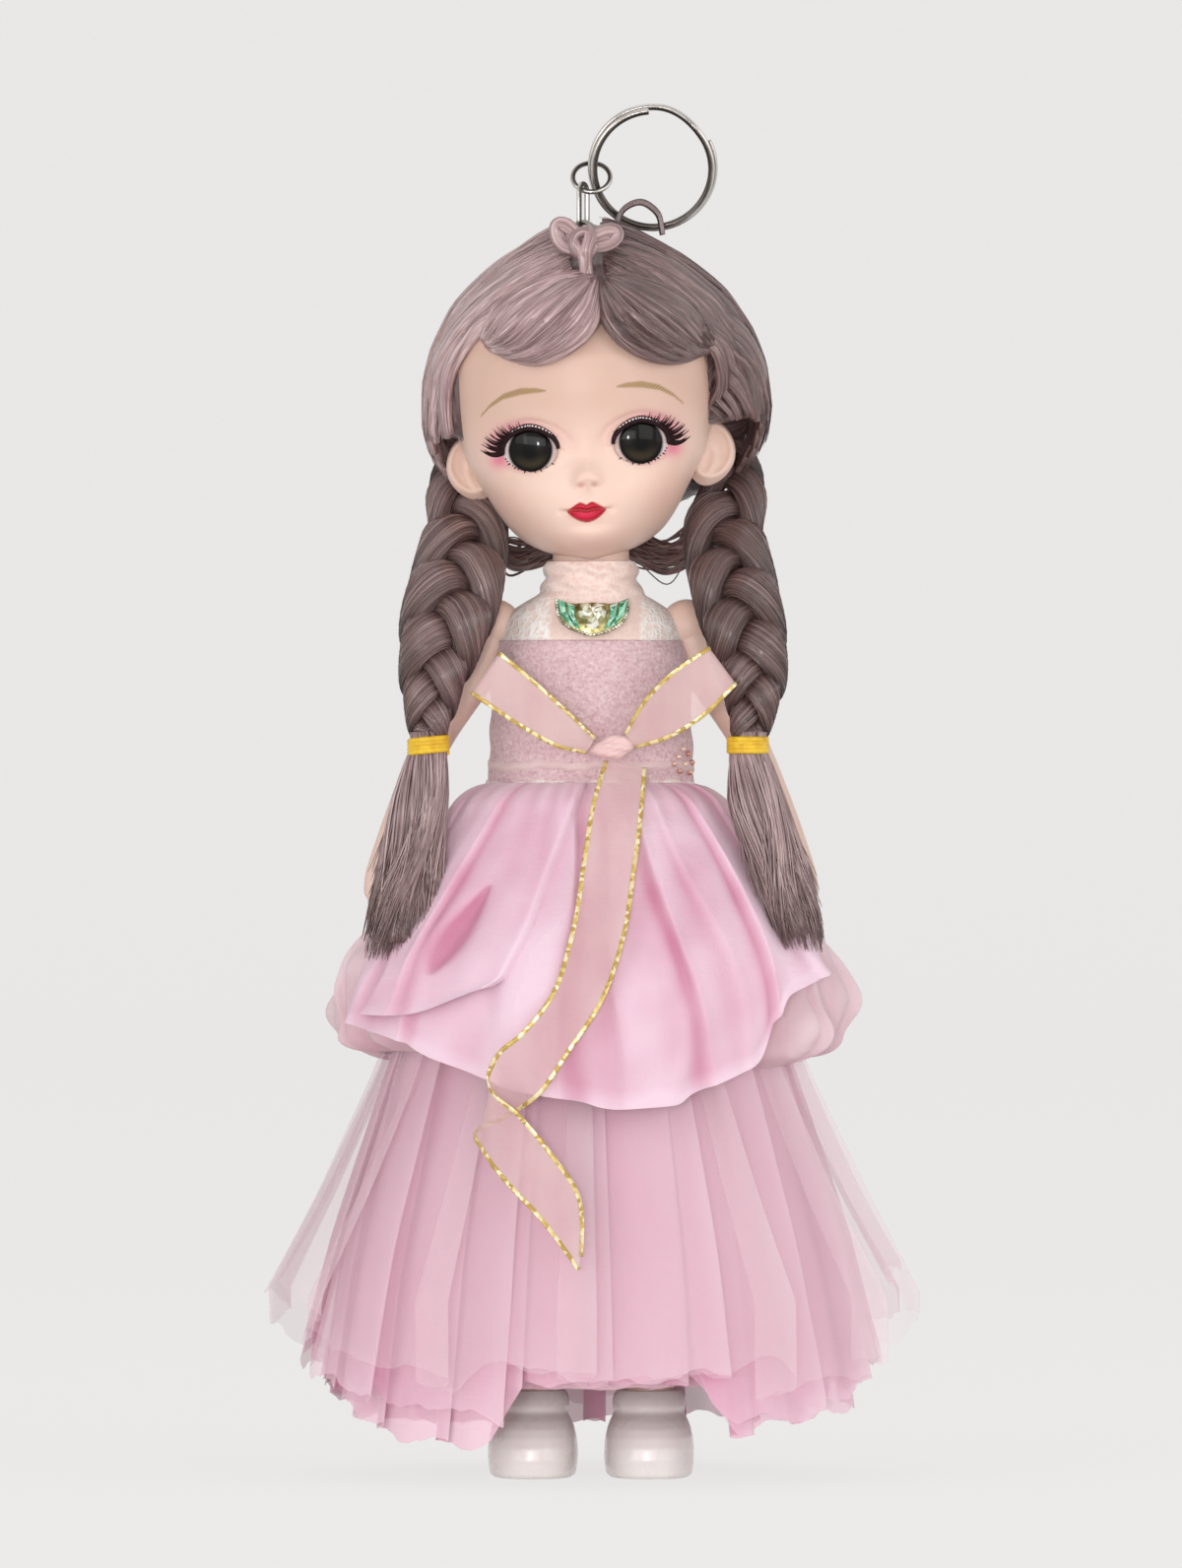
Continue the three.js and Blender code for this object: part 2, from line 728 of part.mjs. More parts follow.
// The roll of hair on top, tied in a small knot.
function topKnot() {
  const path = [
    at(-8, -7.5, hairHeight - 3.3), at(-4.5, -10, hairHeight - 1.1),
    at(1.5, -11.5, hairHeight - 1.9), at(7, -9.5, hairHeight - 2.3),
  ];
  const sizes = [[0, 1.6, 1.2], [0.3, 3, 2.6], [0.7, 3, 2.8], [1, 1.4, 1.2]];
  const roll = sweptBody(path, (t) => blend(sizes, t), 8, 8, at(0, 0, 1));
  const knot = ball(knotRadius, at(1.2, -12.4, hairHeight - 3.3), 9, 7);
  return cut(join(roll, knot), hairSolid(fit), headSolid(fit), bang(-1), bang(1));
}

add(head, 'top_knot', topKnot(), hairColor, 0.5);

function hairLoop() {
  const path = [
    at(3.4, -0.9, crown - 2), at(4.4, -1, crown + 1), at(6.9, -1.1, crown + 2.1),
    at(9.3, -1, crown + 0.5), at(10, -0.9, crown - 2.4),
  ].map(inHead);
  const lock = sweptBody(path, () => [loopLockRadius, loopLockRadius], 10, 6, at(0, 1, 0));
  return cut(lock, hairSolid(fit));
}

add(head, 'hair_loop', hairLoop(), hairColor, 0.5);

// A geometry of the head's own frame, brought into the doll's frame.
function placed(geometry) {
  return geometry.rotateY(headTilt).translate(headPivot.x, headPivot.y, headPivot.z);
}

// The plaits hang from behind the ears and lie in front of the shoulders. The last number of each
// place is a share of the way down from the ears to the elastic.
const plaitTop = headPivot.z + 9.5;
const plaitEnd = elasticHeight + 2.2;
const plaitPlace = ([x, y, share]) => at(x, y, THREE.MathUtils.lerp(plaitTop, plaitEnd, share));
const braidPaths = {
  left: [
    [-18.4, 5, 0], [-17.8, 1, 0.17], [-18.4, -7, 0.37], [-21, -11.4, 0.58],
    [-22.3, -12.6, 0.79], [-22.6, -13.3, 1],
  ].map(plaitPlace),
  right: [
    [19.8, 5, -0.01], [19.4, 0.4, 0.22], [20.2, -8, 0.42], [21.8, -11.6, 0.58],
    [22.7, -12.8, 0.79], [22.1, -13.3, 1],
  ].map(plaitPlace),
};

// The loose ends below the elastics. The last number of each place is a share of their length.
const tieHalf = 1.7;
const tailPlace = ([x, y, share]) => at(x, y, elasticHeight - share * tailLength);
const tailPaths = {
  left: [
    [-22.6, -13.4, -tieHalf / tailLength], [-22.6, -13.4, 0], [-22.6, -13.4, tieHalf / tailLength],
    [-23.9, -14.8, 0.31], [-25.4, -16.6, 0.6], [-26.2, -18.4, 0.96],
  ].map(tailPlace),
  right: [
    [22.1, -13.4, -tieHalf / tailLength], [22.1, -13.4, 0], [22.1, -13.4, tieHalf / tailLength],
    [23.6, -14.8, 0.31], [26.4, -16.8, 0.6], [28.9, -18.6, 0.96],
  ].map(tailPlace),
};

// A plait has bulges that alternate from one edge to the other, one for each crossing of its strands.
function braid(name) {
  const curve = new THREE.CatmullRomCurve3(braidPaths[name], false, 'centripetal');
  const sizes = [[0, 0.62], [0.15, 0.86], [0.35, 1], [0.6, 0.95], [0.85, 0.7], [1, 0.42]];
  const steps = 30;
  const rings = [];
  for (let i = 0; i <= steps; i++) {
    const share = i / steps;
    const centre = curve.getPoint(share);
    const along = curve.getTangent(share);
    const across = at(1, 0, 0).addScaledVector(along, -along.x).normalize();
    const deep = new THREE.Vector3().crossVectors(along, across);
    const [size] = blend(sizes, share);
    rings.push(circle(10).map(([c, s]) => {
      const phase = 2 * Math.PI * strandTurns * share + (c > 0 ? 0 : Math.PI);
      const bulge = 1 + 0.16 * Math.cos(2 * phase) * Math.abs(c) * Math.sign(c);
      return centre.clone()
        .addScaledVector(across, braidHalfWidth * size * bulge * c)
        .addScaledVector(deep, braidHalfDepth * size * bulge * s);
    }));
  }
  const around = [hairSolid(fit), headSolid(fit), ...earPair(fit)];
  return cut(ringsBody(rings), ...around.map(placed));
}

function hairTail(name) {
  const tieNeck = elasticRadius - elasticWire - fit;
  const sizes = [
    [0, tieNeck, tieNeck],
    [0.4, tieNeck, tieNeck],
    [0.6, 4.6, 3],
    [0.8, 5, 3],
    [0.92, 3.8, 2],
    [1, 1.8, 1],
  ];
  return sweptBody(tailPaths[name], (t) => blend(sizes, t), 12, 8, at(1, 0, 0));
}

// The elastic is wound round the end of the plait in one unbroken cord.
function elastic(name) {
  const middle = tailPaths[name][0].clone().setZ(elasticHeight);
  const steps = 20 * elasticTurns;
  const points = [];
  const rings = [];
  for (let i = 0; i <= steps; i++) {
    const angle = (2 * Math.PI * elasticTurns * i) / steps;
    const out = at(Math.cos(angle), Math.sin(angle), 0);
    const rise = (i / steps - 0.5) * elasticPitch * elasticTurns;
    const centre = middle.clone().addScaledVector(out, elasticRadius).add(at(0, 0, rise));
    points.push(centre);
    rings.push(circle(5).map(([c, s]) => (
      centre.clone().addScaledVector(out, elasticWire * c).add(at(0, 0, elasticWire * s))
    )));
  }
  console.log(`elastic_${name} least gap`, leastGap(points, 2 * elasticWire, 12).toFixed(2));
  return ringsBody(rings);
}

for (const name of ['left', 'right']) {
  add(doll, `braid_${name}`, braid(name), hairColor, 0.5);
  add(doll, `hair_tail_${name}`, hairTail(name), hairColor, 0.55);
  add(doll, `elastic_${name}`, elastic(name), 0xe1b414, 0.35);
}

// Key ring hardware: screw eye, washer and nut in the head, link, jump ring and split ring

function screwEye() {
  const ring = new THREE.TorusGeometry(screwEyeRadius, screwEyeWire, 5, 16).rotateX(Math.PI / 2);
  const shankFoot = headHeight - screwDepth - screwPlace.z;
  const shank = post(screwShankRadius, shankFoot, -screwEyeRadius, 10);
  return join(ring, shank).translate(screwPlace.x, screwPlace.y, screwPlace.z);
}

function shellTop(drop, height, radius, sides) {
  const high = headHeight - headWall - fit - 0.5 - drop;
  return cut(post(radius, high - height, high, sides), post(screwShankRadius + fit, 0, headHeight, 10))
    .translate(screwPlace.x, screwPlace.y, 0);
}

add(head, 'screw_eye', screwEye(), steelColor, 0.3, 1);
add(head, 'screw_washer', shellTop(0, 0.6, 3, 14), steelColor, 0.35, 1);
add(head, 'screw_nut', shellTop(0.6 + fit, 1.6, 2, 6), steelColor, 0.35, 1);

function chainLink() {
  const flat = at(Math.cos(linkTurn), Math.sin(linkTurn), 0);
  const up = at(0, 0, 1);
  const side = new THREE.Vector3().crossVectors(flat, up);
  const half = linkLength / 2 - linkRadius;
  const middle = linkFoot.clone().addScaledVector(up, linkLength / 2);
  const frames = circle(16).map(([c, s]) => {
    const out = flat.clone().multiplyScalar(c).addScaledVector(up, s);
    const centre = middle.clone().addScaledVector(out, linkRadius);
    const lift = Math.abs(s) < 1e-6 ? 0 : Math.sign(s) * half;
    return { centre: centre.addScaledVector(up, lift), first: out, second: side };
  });
  return closedWire(frames, linkWire, 5);
}

const jumpCentre = linkFoot.clone().add(at(1.17, 1.2, linkLength + 0.94));
const splitCentre = jumpCentre.clone().add(at(splitRadius + 0.15, -0.3, 1.26));

function jumpRing() {
  return new THREE.TorusGeometry(jumpRadius, jumpWire, 5, 22)
    .rotateX(Math.PI / 2 + jumpTilt)
    .translate(jumpCentre.x, jumpCentre.y, jumpCentre.z);
}

// Two turns of flat wire. The step from one turn to the other lies between the two ends.
function splitRing() {
  const openHalf = THREE.MathUtils.degToRad(34);
  const stepHalf = THREE.MathUtils.degToRad(26);
  const first = openHalf;
  const last = 4 * Math.PI - openHalf;
  const endPlace = THREE.MathUtils.degToRad(60);
  const steps = 44;
  const points = [];
  const rings = [];
  for (let i = 0; i <= steps; i++) {
    const angle = THREE.MathUtils.lerp(first, last, i / steps);
    const climb = THREE.MathUtils.smoothstep(angle, 2 * Math.PI - stepHalf, 2 * Math.PI + stepHalf);
    const out = at(Math.cos(angle + endPlace), 0, Math.sin(angle + endPlace));
    const centre = out.clone().multiplyScalar(splitRadius).add(at(0, (climb - 0.5) * splitPitch, 0));
    points.push(centre);
    rings.push([[1, 1], [-1, 1], [-1, -1], [1, -1]].map(([wide, deep]) => (
      centre.clone()
        .addScaledVector(out, (wide * splitWidth) / 2)
        .add(at(0, (deep * splitThickness) / 2, 0))
    )));
  }
  console.log('split_ring least gap', leastGap(points, splitThickness, 12).toFixed(2));
  return ringsBody(rings).rotateX(splitTilt).translate(splitCentre.x, splitCentre.y, splitCentre.z);
}

add(doll, 'chain_link', chainLink(), steelColor, 0.3, 1);
add(doll, 'jump_ring', jumpRing(), steelColor, 0.3, 1);
add(doll, 'split_ring', splitRing(), steelColor, 0.25, 1);

// Dress: bodice, lace yoke, back closure, sash and bow, brooch, and the layers of the skirt

const bodiceGrow = fit + 0.1 + bodiceThickness;
const armHoleRadius = 6.2;
const armHoles = shoulders.flatMap((centre) => {
  const below = centre.clone().add(at(Math.sign(centre.x) * 4, 0, -3.4));
  return [ball(armHoleRadius, below, 12, 9), ball(shoulderBall + looseFit, centre, 12, 9)];
});
const bodiceBottom = waistHeight + 0.2;
const bodiceTop = bustHeight - fit / 2;

function bodice() {
  const outside = common(torsoSolid(bodiceGrow), slab(bodiceBottom, bodiceTop));
  return cut(outside, torsoSolid(fit + 0.1), ...armHoles);
}

function yoke() {
  const outside = common(torsoSolid(fit + 0.1 + yokeThickness), slab(bodiceTop + fit, neckTop - 0.5));
  return cut(outside, torsoSolid(fit + 0.1), ...armHoles);
}

function backClosure() {
  const strip = block(at(-2.4, 0, bodiceBottom + 1.2), at(2.4, farAway, bodiceTop - 1));
  return cut(common(torsoSolid(bodiceGrow + fit + 0.6), strip), torsoSolid(bodiceGrow + fit));
}

const sashLow = bodiceBottom + 0.3;
const sashHigh = sashLow + 2.2;

function sash() {
  const band = common(torsoSolid(bodiceGrow + fit + 0.5), slab(sashLow, sashHigh));
  return cut(band, torsoSolid(bodiceGrow + fit), block(at(-3, 0, 0), at(3, farAway, farAway)));
}

add(doll, 'bodice', bodice(), pinkColor, 0.8);
add(doll, 'yoke_lace', yoke(), laceColor, 0.85);
add(doll, 'back_closure', backClosure(), 0xf4e8ec, 0.9);
add(doll, 'waist_sash', sash(), ribbonColor, 0.6);

const knotCentre = at(3, -(waistHalfDepth + bodiceGrow + 3.4), waistHeight + 4.5);
const knotSize = [3.4, 1.6, 1.9];

function knotBody(grow) {
  return new THREE.SphereGeometry(1, 12, 8)
    .scale(knotSize[0] + grow, knotSize[1] + grow, knotSize[2] + grow)
    .translate(knotCentre.x, knotCentre.y, knotCentre.z);
}

// A ribbon loop: a flattened ring of ribbon that stands out from the knot towards its tip.
function bowLoop(tip, root) {
  const length = tip.distanceTo(root);
  const loopHalf = 1.3;
  const endWall = 0.9;
  const wide = ribbonWidth - 1;
  const outline = new THREE.Shape().absellipse(0, 0, length / 2, loopHalf, 0, 2 * Math.PI);
  const hollow = new THREE.Path()
    .absellipse(0, 0, length / 2 - endWall, loopHalf - ribbonThickness, 0, 2 * Math.PI);
  outline.holes.push(hollow);
  const loop = new THREE.ExtrudeGeometry(outline, { depth: wide, bevelEnabled: false, curveSegments: 8 })
    .translate(0, 0, -wide / 2);
  const along = tip.clone().sub(root).normalize();
  const normal = at(0, -1, 0).addScaledVector(along, along.y).normalize();
  const across = new THREE.Vector3().crossVectors(along, normal);
  loop.applyMatrix4(new THREE.Matrix4().makeBasis(along, normal, across));
  const middle = tip.clone().add(root).multiplyScalar(0.5);
  return cut(loop.translate(middle.x, middle.y, middle.z), knotBody(fit));
}

// The tip of each loop, and its root beside the knot.
const loopPlaces = {
  left: [at(-14.2, -17.4, waistHeight + 14.2), at(0.6, -13, waistHeight + 5.4)],
  right: [at(17.6, -18.2, waistHeight + 15.3), at(5.4, -13, waistHeight + 5.6)],
};
add(doll, 'bow_knot', knotBody(0), ribbonColor, 0.6);
for (const name of ['left', 'right']) {
  add(doll, `bow_loop_${name}`, bowLoop(...loopPlaces[name]), ribbonColor, 0.6);
}

// The outer point of a layer. turn is the angle from the front towards +X, and drop is below the waist.
function layerPoint(layer, turn, drop, inward) {
  const wide = layerWidth(layer, drop);
  const deep = layerDepth(wide, drop);
  const fold = layer.folds * foldGrowth * drop * Math.cos(foldCount * turn) - inward;
  return at((wide + fold) * Math.sin(turn), -(deep + fold) * Math.cos(turn), skirtTop - drop);
}

function skirtLayer(layer, rows, columns, from, to) {
  const wrapped = to - from > 6.2;
  const grids = [0, clothWall].map((inward) => {
    const grid = [];
    for (let i = 0; i <= rows; i++) {
      const row = [];
      for (let j = 0; j < columns; j++) {
        const turn = THREE.MathUtils.lerp(from, to, wrapped ? j / columns : j / (columns - 1));
        const hem = layer.hem(turn > Math.PI ? turn - 2 * Math.PI : turn) * tulleLength;
        row.push(layerPoint(layer, turn, (hem * i) / rows, inward));
      }
      grid.push(row);
    }
    return grid;
  });
  return wallBody(grids[0], grids[1], wrapped);
}

const drapeReach = 1.12;
const wholeTurn = [0, 2 * Math.PI];
const lining = skirtLayer(layers.lining, 3, 18, ...wholeTurn);
const tulleInner = skirtLayer(layers.tulle_inner, 4, 36, ...wholeTurn);
const tulleOuter = skirtLayer(layers.tulle_outer, 4, 36, ...wholeTurn);
const overskirt = skirtLayer(layers.overskirt, 5, 36, ...wholeTurn);
const drape = skirtLayer(layers.overskirt_drape, 6, 20, -drapeReach, drapeReach);
add(doll, 'skirt_lining', lining, 0xdf9fc4, 0.85);
add(doll, 'tulle_inner', tulleInner, 0xe6aacb, 0.9);
add(doll, 'tulle_outer', tulleOuter, 0xf0d3e0, 0.9);
add(doll, 'overskirt', overskirt, pinkColor, 0.7);
add(doll, 'overskirt_drape', drape, pinkColor, 0.7);

// How far in front the skirt reaches at a place of the front view, with a clearance.
function frontOf(x, z) {
  const drop = skirtTop - z;
  let front = waistHalfDepth + bodiceGrow + 1.6;
  for (const layer of [layers.tulle_outer, layers.overskirt, layers.overskirt_drape]) {
    const longest = layer.flare[layer.flare.length - 1][0] * tulleLength;
    if (drop > 0 && drop < longest) {
      const wide = layerWidth(layer, drop);
      const reach = layerDepth(wide, drop) + foldGrowth * drop;
      front = Math.max(front, reach * Math.sqrt(Math.max(0, 1 - (x / wide) ** 2)));
    }
  }
  return -(front + looseFit);
}

// The hanging end of the bow, as pairs of edge places down the front: it folds back on itself once.
// Each pair is x and height for one edge and then the other, x in ribbon widths, and the height in
// shares of the drop, from the waist.
function bowTail() {
  const edges = [
    [0.1, 0.028, 0.89, 0.028],
    [-0.12, -0.201, 0.7, -0.201],
    [-0.45, -0.385, 0.43, -0.358],
    [-1, -0.513, -0.01, -0.5],
    [-1.65, -0.588, -0.64, -0.606],
    [-1.88, -0.693, -1.16, -0.657],
    [-1.47, -0.797, -0.94, -0.731],
    [-1, -0.867, -0.45, -0.807],
    [-0.49, -0.946, -0.12, -0.875],
    [-0.19, -1, -0.1, -0.964],
  ];
  const columns = 3;
  const outer = edges.map(([x0, z0, x1, z1]) => {
    const row = [];
    for (let j = 0; j <= columns; j++) {
      const x = THREE.MathUtils.lerp(x0, x1, j / columns) * ribbonWidth;
      const z = THREE.MathUtils.lerp(z0, z1, j / columns) * bowTailDrop + waistHeight;
      row.push(at(x, frontOf(x, z) - 0.5 - ribbonThickness, z));
    }
    return row;
  });
  const inner = outer.map((row) => row.map((place) => place.clone().add(at(0, ribbonThickness, 0))));
  return wallBody(outer, inner, false);
}

add(doll, 'bow_tail', cut(bowTail(), knotBody(fit)), ribbonColor, 0.6);

// Brooch: a metal plate on the yoke that carries a heart stone with a wing stone at each side
const broochSeat = 0.55;
const brooch = new THREE.Group();
brooch.position.set(headPivot.x, -(bustHalfDepth + broochSeat), shoulderHeight + 1.1);
brooch.rotation.x = THREE.MathUtils.degToRad(-20);
doll.add(brooch);
const stoneHeight = 1.1;
const plateThickness = 0.6;

function raised(shape, low, high, bevel = 0) {
  return new THREE.ExtrudeGeometry(shape, {
    depth: high - low - 2 * bevel,
    bevelEnabled: bevel > 0,
    bevelSize: bevel,
    bevelThickness: bevel,
    bevelOffset: -bevel,
    bevelSegments: 1,
    curveSegments: 5,
  }).rotateX(Math.PI / 2).translate(0, -low - bevel, 0);
}

function heartShape(size) {
  const heart = new THREE.Shape();
  heart.moveTo(0, -2.6 * size);
  heart.bezierCurveTo(-1.2 * size, -1.6 * size, -2.3 * size, -0.4 * size, -2.1 * size, 0.9 * size);
  heart.bezierCurveTo(-1.9 * size, 2.3 * size, -0.4 * size, 2.4 * size, 0, 1.4 * size);
  heart.bezierCurveTo(0.4 * size, 2.4 * size, 1.9 * size, 2.3 * size, 2.1 * size, 0.9 * size);
  heart.bezierCurveTo(2.3 * size, -0.4 * size, 1.2 * size, -1.6 * size, 0, -2.6 * size);
  return heart;
}

function wingShape(side) {
  const wing = new THREE.Shape();
  wing.moveTo(side * 2.45, 1.5);
  wing.lineTo(side * 4.9, 2);
  wing.lineTo(side * 4.5, 0);
  wing.lineTo(side * 3.1, -1.6);
  wing.lineTo(side * 1.6, -2.3);
  wing.lineTo(side * 2.4, -0.6);
  wing.closePath();
  return wing;
}

function plateShape() {
  const plate = new THREE.Shape();
  plate.moveTo(0, -3);
  plate.lineTo(3.3, -1.9);
  plate.lineTo(4.9, 0);
  plate.lineTo(5.1, 2.3);
  plate.lineTo(-5.1, 2.3);
  plate.lineTo(-4.9, 0);
  plate.lineTo(-3.3, -1.9);
  plate.closePath();
  return plate;
}

add(brooch, 'brooch_plate', raised(plateShape(), 0, plateThickness), goldColor, 0.3, 1);
const stoneLow = plateThickness + fit / 2;
const heart = raised(heartShape(0.85), stoneLow, stoneLow + stoneHeight, 0.35);
add(brooch, 'brooch_heart', heart, 0xcfc9a0, 0.1);
for (const [side, name] of [[-1, 'left'], [1, 'right']]) {
  const wing = raised(wingShape(side), stoneLow, stoneLow + stoneHeight - 0.2, 0.3);
  add(brooch, `brooch_wing_${name}`, wing, 0x2f8a60, 0.1);
}

export default doll;
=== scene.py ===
# %% [markdown]
# # A doll keychain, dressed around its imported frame
# The frame holds the doll's solids at their real size, with the joints they move on. This lesson
# leaves them where they are and builds the surfaces that people see: vinyl skin, painted features,
# combed and plaited hair, a layered dress, a jewelled brooch and steel key rings.
# All shapes below are worked out in millimetres and become metres when their mesh is made.

# %% Load the frame
import math

import bpy
import numpy as np
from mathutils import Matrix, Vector


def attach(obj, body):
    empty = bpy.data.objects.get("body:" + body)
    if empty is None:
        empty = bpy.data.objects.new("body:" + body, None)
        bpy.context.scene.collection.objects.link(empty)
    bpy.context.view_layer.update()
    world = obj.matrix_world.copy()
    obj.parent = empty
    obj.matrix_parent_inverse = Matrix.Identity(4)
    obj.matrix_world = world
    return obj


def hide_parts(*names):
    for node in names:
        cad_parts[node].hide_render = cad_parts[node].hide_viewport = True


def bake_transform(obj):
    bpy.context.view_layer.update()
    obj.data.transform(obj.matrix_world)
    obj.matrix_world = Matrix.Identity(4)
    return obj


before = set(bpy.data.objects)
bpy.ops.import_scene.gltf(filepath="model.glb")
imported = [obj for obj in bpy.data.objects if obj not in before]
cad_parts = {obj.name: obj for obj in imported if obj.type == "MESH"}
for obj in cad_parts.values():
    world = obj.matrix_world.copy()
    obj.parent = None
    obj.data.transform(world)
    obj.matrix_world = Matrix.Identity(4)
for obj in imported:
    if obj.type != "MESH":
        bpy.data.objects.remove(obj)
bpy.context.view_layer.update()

# %% [markdown]
# ## Camera, backdrop and lights
# A product photograph of a small doll is taken from far away with a long lens, so that the feet and
# the head show at one scale. The camera stands level with the middle of the doll, and one bent
# sheet is both floor and backdrop. To the camera it glows at the paper's own tone, and a share of
# plain diffuse keeps the doll's soft shadow. One small lamp low beside the camera gives the eyes
# their light, and large softboxes in front, above and at the sides shape the cloth and the hair.

# %% Camera
MM = 0.001
camera_distance = 1.6
picture_height = 0.2189
look_height = 0.0964

camera = bpy.data.objects.new("camera", bpy.data.cameras.new("camera"))
camera.location = (0, -camera_distance, look_height)
camera.rotation_euler = (math.pi / 2, 0, 0)
camera.data.sensor_width = 36
camera.data.lens = camera.data.sensor_width * camera_distance / picture_height
bpy.context.scene.collection.objects.link(camera)
bpy.context.scene.camera = camera
print("lens:", round(camera.data.lens), "mm")

# %% Helpers for meshes


def link_mesh(name, points, triangles, quads):
    """A mesh object from points in millimetres and rows of three and of four point numbers."""
    mesh = bpy.data.meshes.new(name)
    corners = np.concatenate([quads.ravel(), triangles.ravel()]).astype(np.int32)
    starts = np.concatenate([np.arange(len(quads)) * 4, len(quads) * 4 + np.arange(len(triangles)) * 3])
    mesh.vertices.add(len(points))
    mesh.vertices.foreach_set("co", (points * MM).astype(np.float32).ravel())
    mesh.loops.add(len(corners))
    mesh.loops.foreach_set("vertex_index", corners)
    mesh.polygons.add(len(starts))
    mesh.polygons.foreach_set("loop_start", starts.astype(np.int32))
    mesh.update(calc_edges=True)
    mesh.validate()
    mesh.shade_smooth()
    made = bpy.data.objects.new(name, mesh)
    bpy.context.scene.collection.objects.link(made)
    return made


def surface(name, grids, around=False, ends=False, size=(1, 1), shifts=None, inside=None, loop=False):
    """A mesh from grids of points: grids is count x rows x columns x 3. The columns join into a ring
    when around is true, the rows when loop is true, and each end gets a fan of triangles when ends
    is true. The UV map runs from 0 to size over the columns and the rows, and each grid's is moved
    by its own shift. Faces point away from the inside point, or out of the closed volume."""
    grids = np.asarray(grids, float)
    grids = grids if grids.ndim == 4 else grids[None]
    count, rows, columns = grids.shape[:3]
    left = np.arange(columns if around else columns - 1)
    right = (left + 1) % columns
    row = np.arange(rows if loop else rows - 1)[:, None] * columns
    below = (row + columns) % (rows * columns)
    one = np.stack([row + left, row + right, below + right, below + left], -1).reshape(-1, 4)
    quads = (one[None] + np.arange(count)[:, None, None] * rows * columns).reshape(-1, 4)
    points = grids.reshape(-1, 3)
    across = np.stack([left, left + 1, left + 1, left], -1) / max(len(left), 1)
    share = np.arange(len(row) + 1) / len(row)
    down = np.stack([share[:-1], share[:-1], share[1:], share[1:]], -1)
    uv = np.empty((count, len(row), len(left), 4, 2))
    uv[..., 0] = across[None, None] * size[0]
    uv[..., 1] = down[None, :, None] * size[1]
    if shifts is not None:
        uv += np.asarray(shifts)[:, None, None, None, :]
    uv = uv.reshape(-1, 2)
    triangles = np.empty((0, 3), int)
    if ends:
        hubs = len(points) + np.arange(2 * count)[:, None] + 0 * left
        low, low_next = (np.arange(count)[:, None] * rows * columns + way for way in (left, right))
        up = (rows - 1) * columns
        first = np.stack([hubs[:count], low_next, low], -1)
        last = np.stack([hubs[count:], low + up, low_next + up], -1)
        triangles = np.concatenate([first.reshape(-1, 3), last.reshape(-1, 3)])
        points = np.concatenate([points, grids[:, 0].mean(1), grids[:, -1].mean(1)])
        uv = np.concatenate([uv, np.tile([[0.5 * size[0], 0.0]], (triangles.size, 1))])
    a, b, c, d = points[quads].transpose(1, 0, 2)
    normals = np.cross(c - a, d - b)
    middle = (a + b + c + d) / 4
    from_point = middle if inside is None else middle - np.asarray(inside, float)
    if (normals * from_point).sum() < 0:
        quads = quads[:, ::-1]
        triangles = triangles[:, ::-1]
        uv = uv.reshape(-1, 2)
        whole = len(quads) * 4
        uv = np.concatenate([uv[:whole].reshape(-1, 4, 2)[:, ::-1].reshape(-1, 2), uv[whole:]])
    made = link_mesh(name, points, triangles, quads)
    layer = made.data.uv_layers.new(name="UVMap")
    layer.data.foreach_set("uv", uv.astype(np.float32).ravel())
    return made


def solid(name, grids, **more):
    """A closed mesh from rings of points, with a fan at each end."""
    return surface(name, grids, around=True, ends=True, **more)


def curve(points, count):
    """A smooth line through points, evenly sampled: between two points each coordinate is a cubic
    whose slopes are taken across the neighbours. A point may carry more numbers, such as a radius."""
    p = np.asarray(points, float)
    steps = np.linalg.norm(np.diff(p[:, :3], axis=0), axis=1) ** 0.5
    t = np.concatenate([[0], np.cumsum(steps)])
    slope = np.gradient(p, t, axis=0)
    s = np.linspace(0, t[-1], count)
    i = np.clip(np.searchsorted(t, s, "right") - 1, 0, len(t) - 2)
    h = (t[i + 1] - t[i])[:, None]
    u = (s - t[i])[:, None] / h
    return (
        (2 * u**3 - 3 * u**2 + 1) * p[i] + (u**3 - 2 * u**2 + u) * h * slope[i]
        + (3 * u**2 - 2 * u**3) * p[i + 1] + (u**3 - u**2) * h * slope[i + 1]
    )


signs = {"left": -1, "right": 1}


def full_turn(count):
    """Angles once round, without the last one that meets the first."""
    return np.arange(count) * 2 * np.pi / count


def ball_grid(centre, radius, rows=26, columns=40, pole=0.02):
    """A ball by polar angle and turn, open by a small angle at each pole."""
    polar = np.linspace(pole, np.pi - pole, rows)[:, None]
    turn = full_turn(columns)
    return np.asarray(centre) + radius * np.stack(
        [np.sin(polar) * np.cos(turn), np.sin(polar) * np.sin(turn), np.cos(polar) + 0 * turn], -1)


def unit(vectors):
    """Vectors at length one."""
    return vectors / np.maximum(np.linalg.norm(vectors, axis=-1, keepdims=True), 1e-9)


def swept(path, wide, thick, outward, columns=12, grooves=0, groove=0.0, twist=0.0):
    """Rings of points round a path: each is an ellipse with half sizes wide, across the path, and
    thick, along the outward direction. grooves cut that many furrows, and twist turns the rings."""
    path = np.asarray(path, float)
    along = unit(np.gradient(path, axis=0))
    across = unit(np.cross(along, np.broadcast_to(outward, path.shape)))
    deep = np.cross(across, along)
    angle = full_turn(columns)
    share = np.linspace(0, 1, len(path))[:, None]
    turned = angle[None] + twist * 2 * np.pi * share
    furrow = 1 - groove * (0.5 + 0.5 * np.cos(grooves * angle))[None] if grooves else np.ones_like(turned)
    wide = np.broadcast_to(wide, (len(path),))[:, None] * furrow * np.cos(turned)
    thick = np.broadcast_to(thick, (len(path),))[:, None] * furrow * np.sin(turned)
    return path[:, None] + across[:, None] * wide[..., None] + deep[:, None] * thick[..., None]


